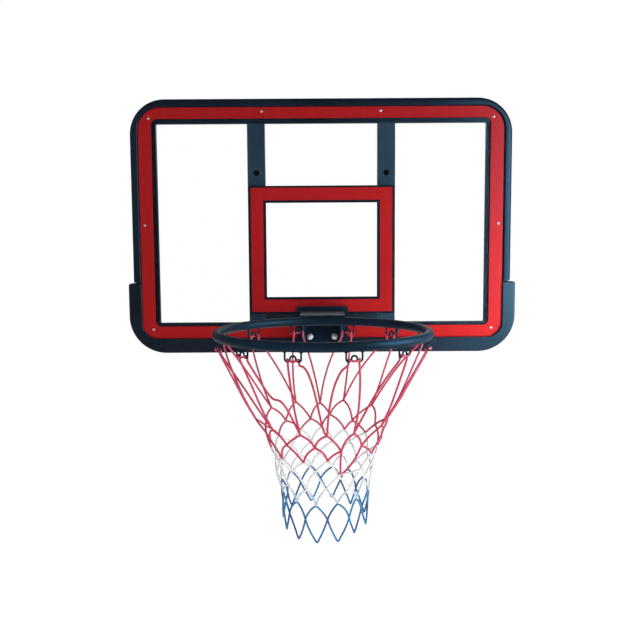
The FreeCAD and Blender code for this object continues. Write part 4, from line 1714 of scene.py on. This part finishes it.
    def finishes(self) -> dict[Zone, Cord]:
        """Gives each zone's dye; the white runs a little into the blue.

        Returns:
            The zones' finishes.
        """
        into_blue = Fade(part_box("net_white")[0].z, 10 * MM, (0.42, 0.60, 0.78))
        return {
            Zone.RED: Cord(
                "cord_red", (0.74, 0.048, 0.114), 0.62, second=(0.61, 0.034, 0.104), second_share=0.6, groove_shade=0.5,
            ),
            Zone.WHITE: Cord(
                "cord_white", (0.98, 0.98, 0.98), 0.62, second=(0.96, 0.96, 0.97), groove_shade=0.06, fades=(into_blue,),
            ),
            Zone.BLUE: Cord(
                "cord_blue", (0.050, 0.295, 0.55), 0.6, second=(0.062, 0.084, 0.30), second_share=1.0,
                patch_scale=24.0,
            ),
        }

    def build(self) -> None:
        """Builds the three zones, each in place of its CAD node."""
        self.place_knots()
        tree = cord_tree()
        knot = self.knot_object()
        finishes = self.finishes()
        for zone, chains in self.zone_runs().items():
            piece = grown(zone.value + "_cords", self.carrier(zone, chains), tree, {
                "Cord Radius": self.cord_radius, "Strand Depth": self.strand_depth, "Strands": float(self.strands),
                "Lay Length": self.lay_length, "Step": self.cord_step, "Sides": 4 * self.strands,
                "Knot": knot, "Knot Seed": self.seed, "Finish": finishes[zone].material(),
            })
            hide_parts(zone.value)
            if zone is Zone.RED:
                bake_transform(piece)
            else:
                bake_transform(piece)
            log.info("%s: %d faces", piece.name, len(piece.data.polygons))
        bpy.data.objects.remove(knot)


class Reach(Enum):
    """What a lamp does to a surface, as its two ray switches: dull light and mirrored light."""

    FULL = (True, True)
    DULL = (True, False)
    MIRRORED = (False, True)


@dataclass(frozen=True)
class Lamp:
    """A soft box: where it stands, the point that it faces, its width and height, and its watts."""

    name: str
    place: Place
    aim: Place
    size: Span
    power: float
    reach: Reach = Reach.FULL
    color: Color = (1.0, 1.0, 1.0)

    def build(self) -> None:
        """Puts the lamp up, out of the camera's sight."""
        light = bpy.data.lights.new(self.name, "AREA")
        light.shape = "RECTANGLE"
        light.size, light.size_y = self.size
        light.energy = self.power
        light.color = self.color
        lamp = set_out(self.name, light)
        lamp.visible_camera = False
        lamp.visible_diffuse, lamp.visible_glossy = self.reach.value
        lamp.location = self.place
        lamp.rotation_euler = (Vector(self.aim) - Vector(self.place)).to_track_quat("-Z", "Y").to_euler()


@dataclass
class Studio:
    """Camera, lamps, pale floor and white surroundings."""

    eye: Place = (-0.009488, -2.39495, 0.01098)
    yaw: float = 0.089
    pitch: float = 6.222
    roll: float = -0.351
    lens: float = 50.38
    sensor: float = 36.0
    floor_height: float = -1.75
    floor_half: float = 7.0
    floor_parts: int = 8
    floor_color: Color = (0.9, 0.9, 0.9)
    floor_glow: float = 0.7
    fill_light: float = 0.34
    mirror_span: Span = (-0.3, 0.4)
    mirror_light: Span = (0.06, 0.4)
    lamps: tuple[Lamp, ...] = (
        Lamp("key", (1.75, -1.75, 0.35), (0.25, 0.0, -0.15), (1.1, 1.6), 7.3),
        Lamp("right_strip", (0.78, -0.38, -0.40), (0.44, 0.0, -0.26), (0.25, 0.6), 6.7, Reach.DULL),
        Lamp(
            "right_sky", (0.95, -0.65, 0.08), (0.47, 0.0, 0.08), (0.65, 0.9), 78.0, Reach.MIRRORED, (0.30, 0.75, 1.0),
        ),
        Lamp("left_sky", (-1.1, -0.9, 0.35), (-0.45, 0.0, 0.0), (0.5, 0.9), 6.0, Reach.MIRRORED, (0.55, 0.80, 1.0)),
        Lamp("left_fill", (-1.4, -2.4, 0.25), (-0.1, 0.0, -0.2), (1.4, 1.4), 6.6, Reach.DULL),
        Lamp("low_fill", (0.15, -1.7, -1.15), (0.0, -0.35, -0.5), (0.9, 0.5), 10.0, Reach.DULL),
        Lamp("glint", (-0.1, -2.7, -0.45), (0.0, 0.0, 0.0), (0.08, 0.08), 1.0, Reach.MIRRORED),
        Lamp("top_fill", (0.0, -1.2, 2.4), (0.0, -0.2, -0.2), (2.0, 1.2), 6.0),
        Lamp("back_fill", (0.6, 2.6, 1.2), (0.0, 0.0, 0.0), (2.0, 2.0), 20.0),
    )

    def build(self) -> None:
        """Sets up the whole studio."""
        bpy.context.scene.view_settings.view_transform = "Standard"
        self.camera()
        for lamp in self.lamps:
            lamp.build()
        self.floor()
        self.world()

    def camera(self) -> None:
        """Puts the camera at the photograph's viewing angle."""
        yaw, pitch, roll = (math.radians(value) for value in (self.yaw, self.pitch, self.roll))
        ahead = Vector((math.sin(yaw) * math.cos(pitch), math.cos(yaw) * math.cos(pitch), -math.sin(pitch)))
        level = Vector((math.cos(yaw), -math.sin(yaw), 0.0))
        upright = level.cross(ahead)
        right = level * math.cos(roll) + upright * math.sin(roll)
        up = upright * math.cos(roll) - level * math.sin(roll)
        lens = bpy.data.cameras.new("camera")
        lens.lens = self.lens
        lens.sensor_width = self.sensor
        camera = set_out("camera", lens)
        camera.matrix_world = Matrix.Translation(self.eye) @ Matrix((right, up, -ahead)).transposed().to_4x4()
        bpy.context.scene.camera = camera

    def floor(self) -> None:
        """Lays a pale floor far below, which keeps the object's shadow."""
        work = bmesh.new()
        bmesh.ops.create_grid(work, x_segments=self.floor_parts, y_segments=self.floor_parts, size=self.floor_half)
        bmesh.ops.translate(work, verts=work.verts, vec=(0.0, 0.0, self.floor_height))
        mesh = drawn("floor", work)
        material = bpy.data.materials.new("floor_white")
        material.use_nodes = True
        tree = TreeBuilder(material.node_tree)
        paint = tree.add("ShaderNodeBsdfDiffuse", {"Color": (*self.floor_color, 1.0)})
        ray = tree.add("ShaderNodeLightPath").outputs
        seen = tree.math("MAXIMUM", ray["Is Camera Ray"], ray["Is Glossy Ray"])
        seen = tree.math("MAXIMUM", seen, ray["Is Transmission Ray"])
        glow = tree.add("ShaderNodeEmission", {"Strength": tree.math("MULTIPLY", seen, self.floor_glow)})
        both = tree.add("ShaderNodeAddShader", {0: paint.outputs[0], 1: glow.outputs[0]})
        tree.add("ShaderNodeOutputMaterial", {"Surface": both.outputs[0]})
        mesh.materials.append(material)
        set_out("floor", mesh)

    def world(self) -> None:
        """Surrounds the object with white to look at and a softer light to be lit by."""
        world = bpy.data.worlds.new("studio")
        world.use_nodes = True
        bpy.context.scene.world = world
        tree = TreeBuilder(world.node_tree)
        ray = tree.add("ShaderNodeLightPath").outputs
        way = tree.add("ShaderNodeSeparateXYZ", {0: tree.add("ShaderNodeTexCoord").outputs["Generated"]})
        behind = tree.ramp(way.outputs[1], self.mirror_span, self.mirror_light)
        mirror = tree.math("MULTIPLY", ray["Is Glossy Ray"], behind)
        straight = tree.math("MAXIMUM", ray["Is Camera Ray"], ray["Is Transmission Ray"])
        fill = tree.math("MULTIPLY", ray["Is Diffuse Ray"], self.fill_light)
        strength = tree.math("MAXIMUM", tree.math("MAXIMUM", straight, mirror), fill)
        sky = tree.add("ShaderNodeBackground", {"Color": (1.0, 1.0, 1.0, 1.0), "Strength": strength})
        tree.add("ShaderNodeOutputWorld", {"Surface": sky.outputs[0]})


def main() -> None:
    """Builds and dresses the whole object, then its studio."""
    logging.basicConfig(level=logging.INFO, format="%(message)s")
    ring = RingGeometry.read()
    Board(CAD_FINISHES).dress()
    Fasteners().build()
    WeldBeads(ring).build()
    CordNet(ring).build()
    Studio().build()


if __name__ == "__main__":
    main()
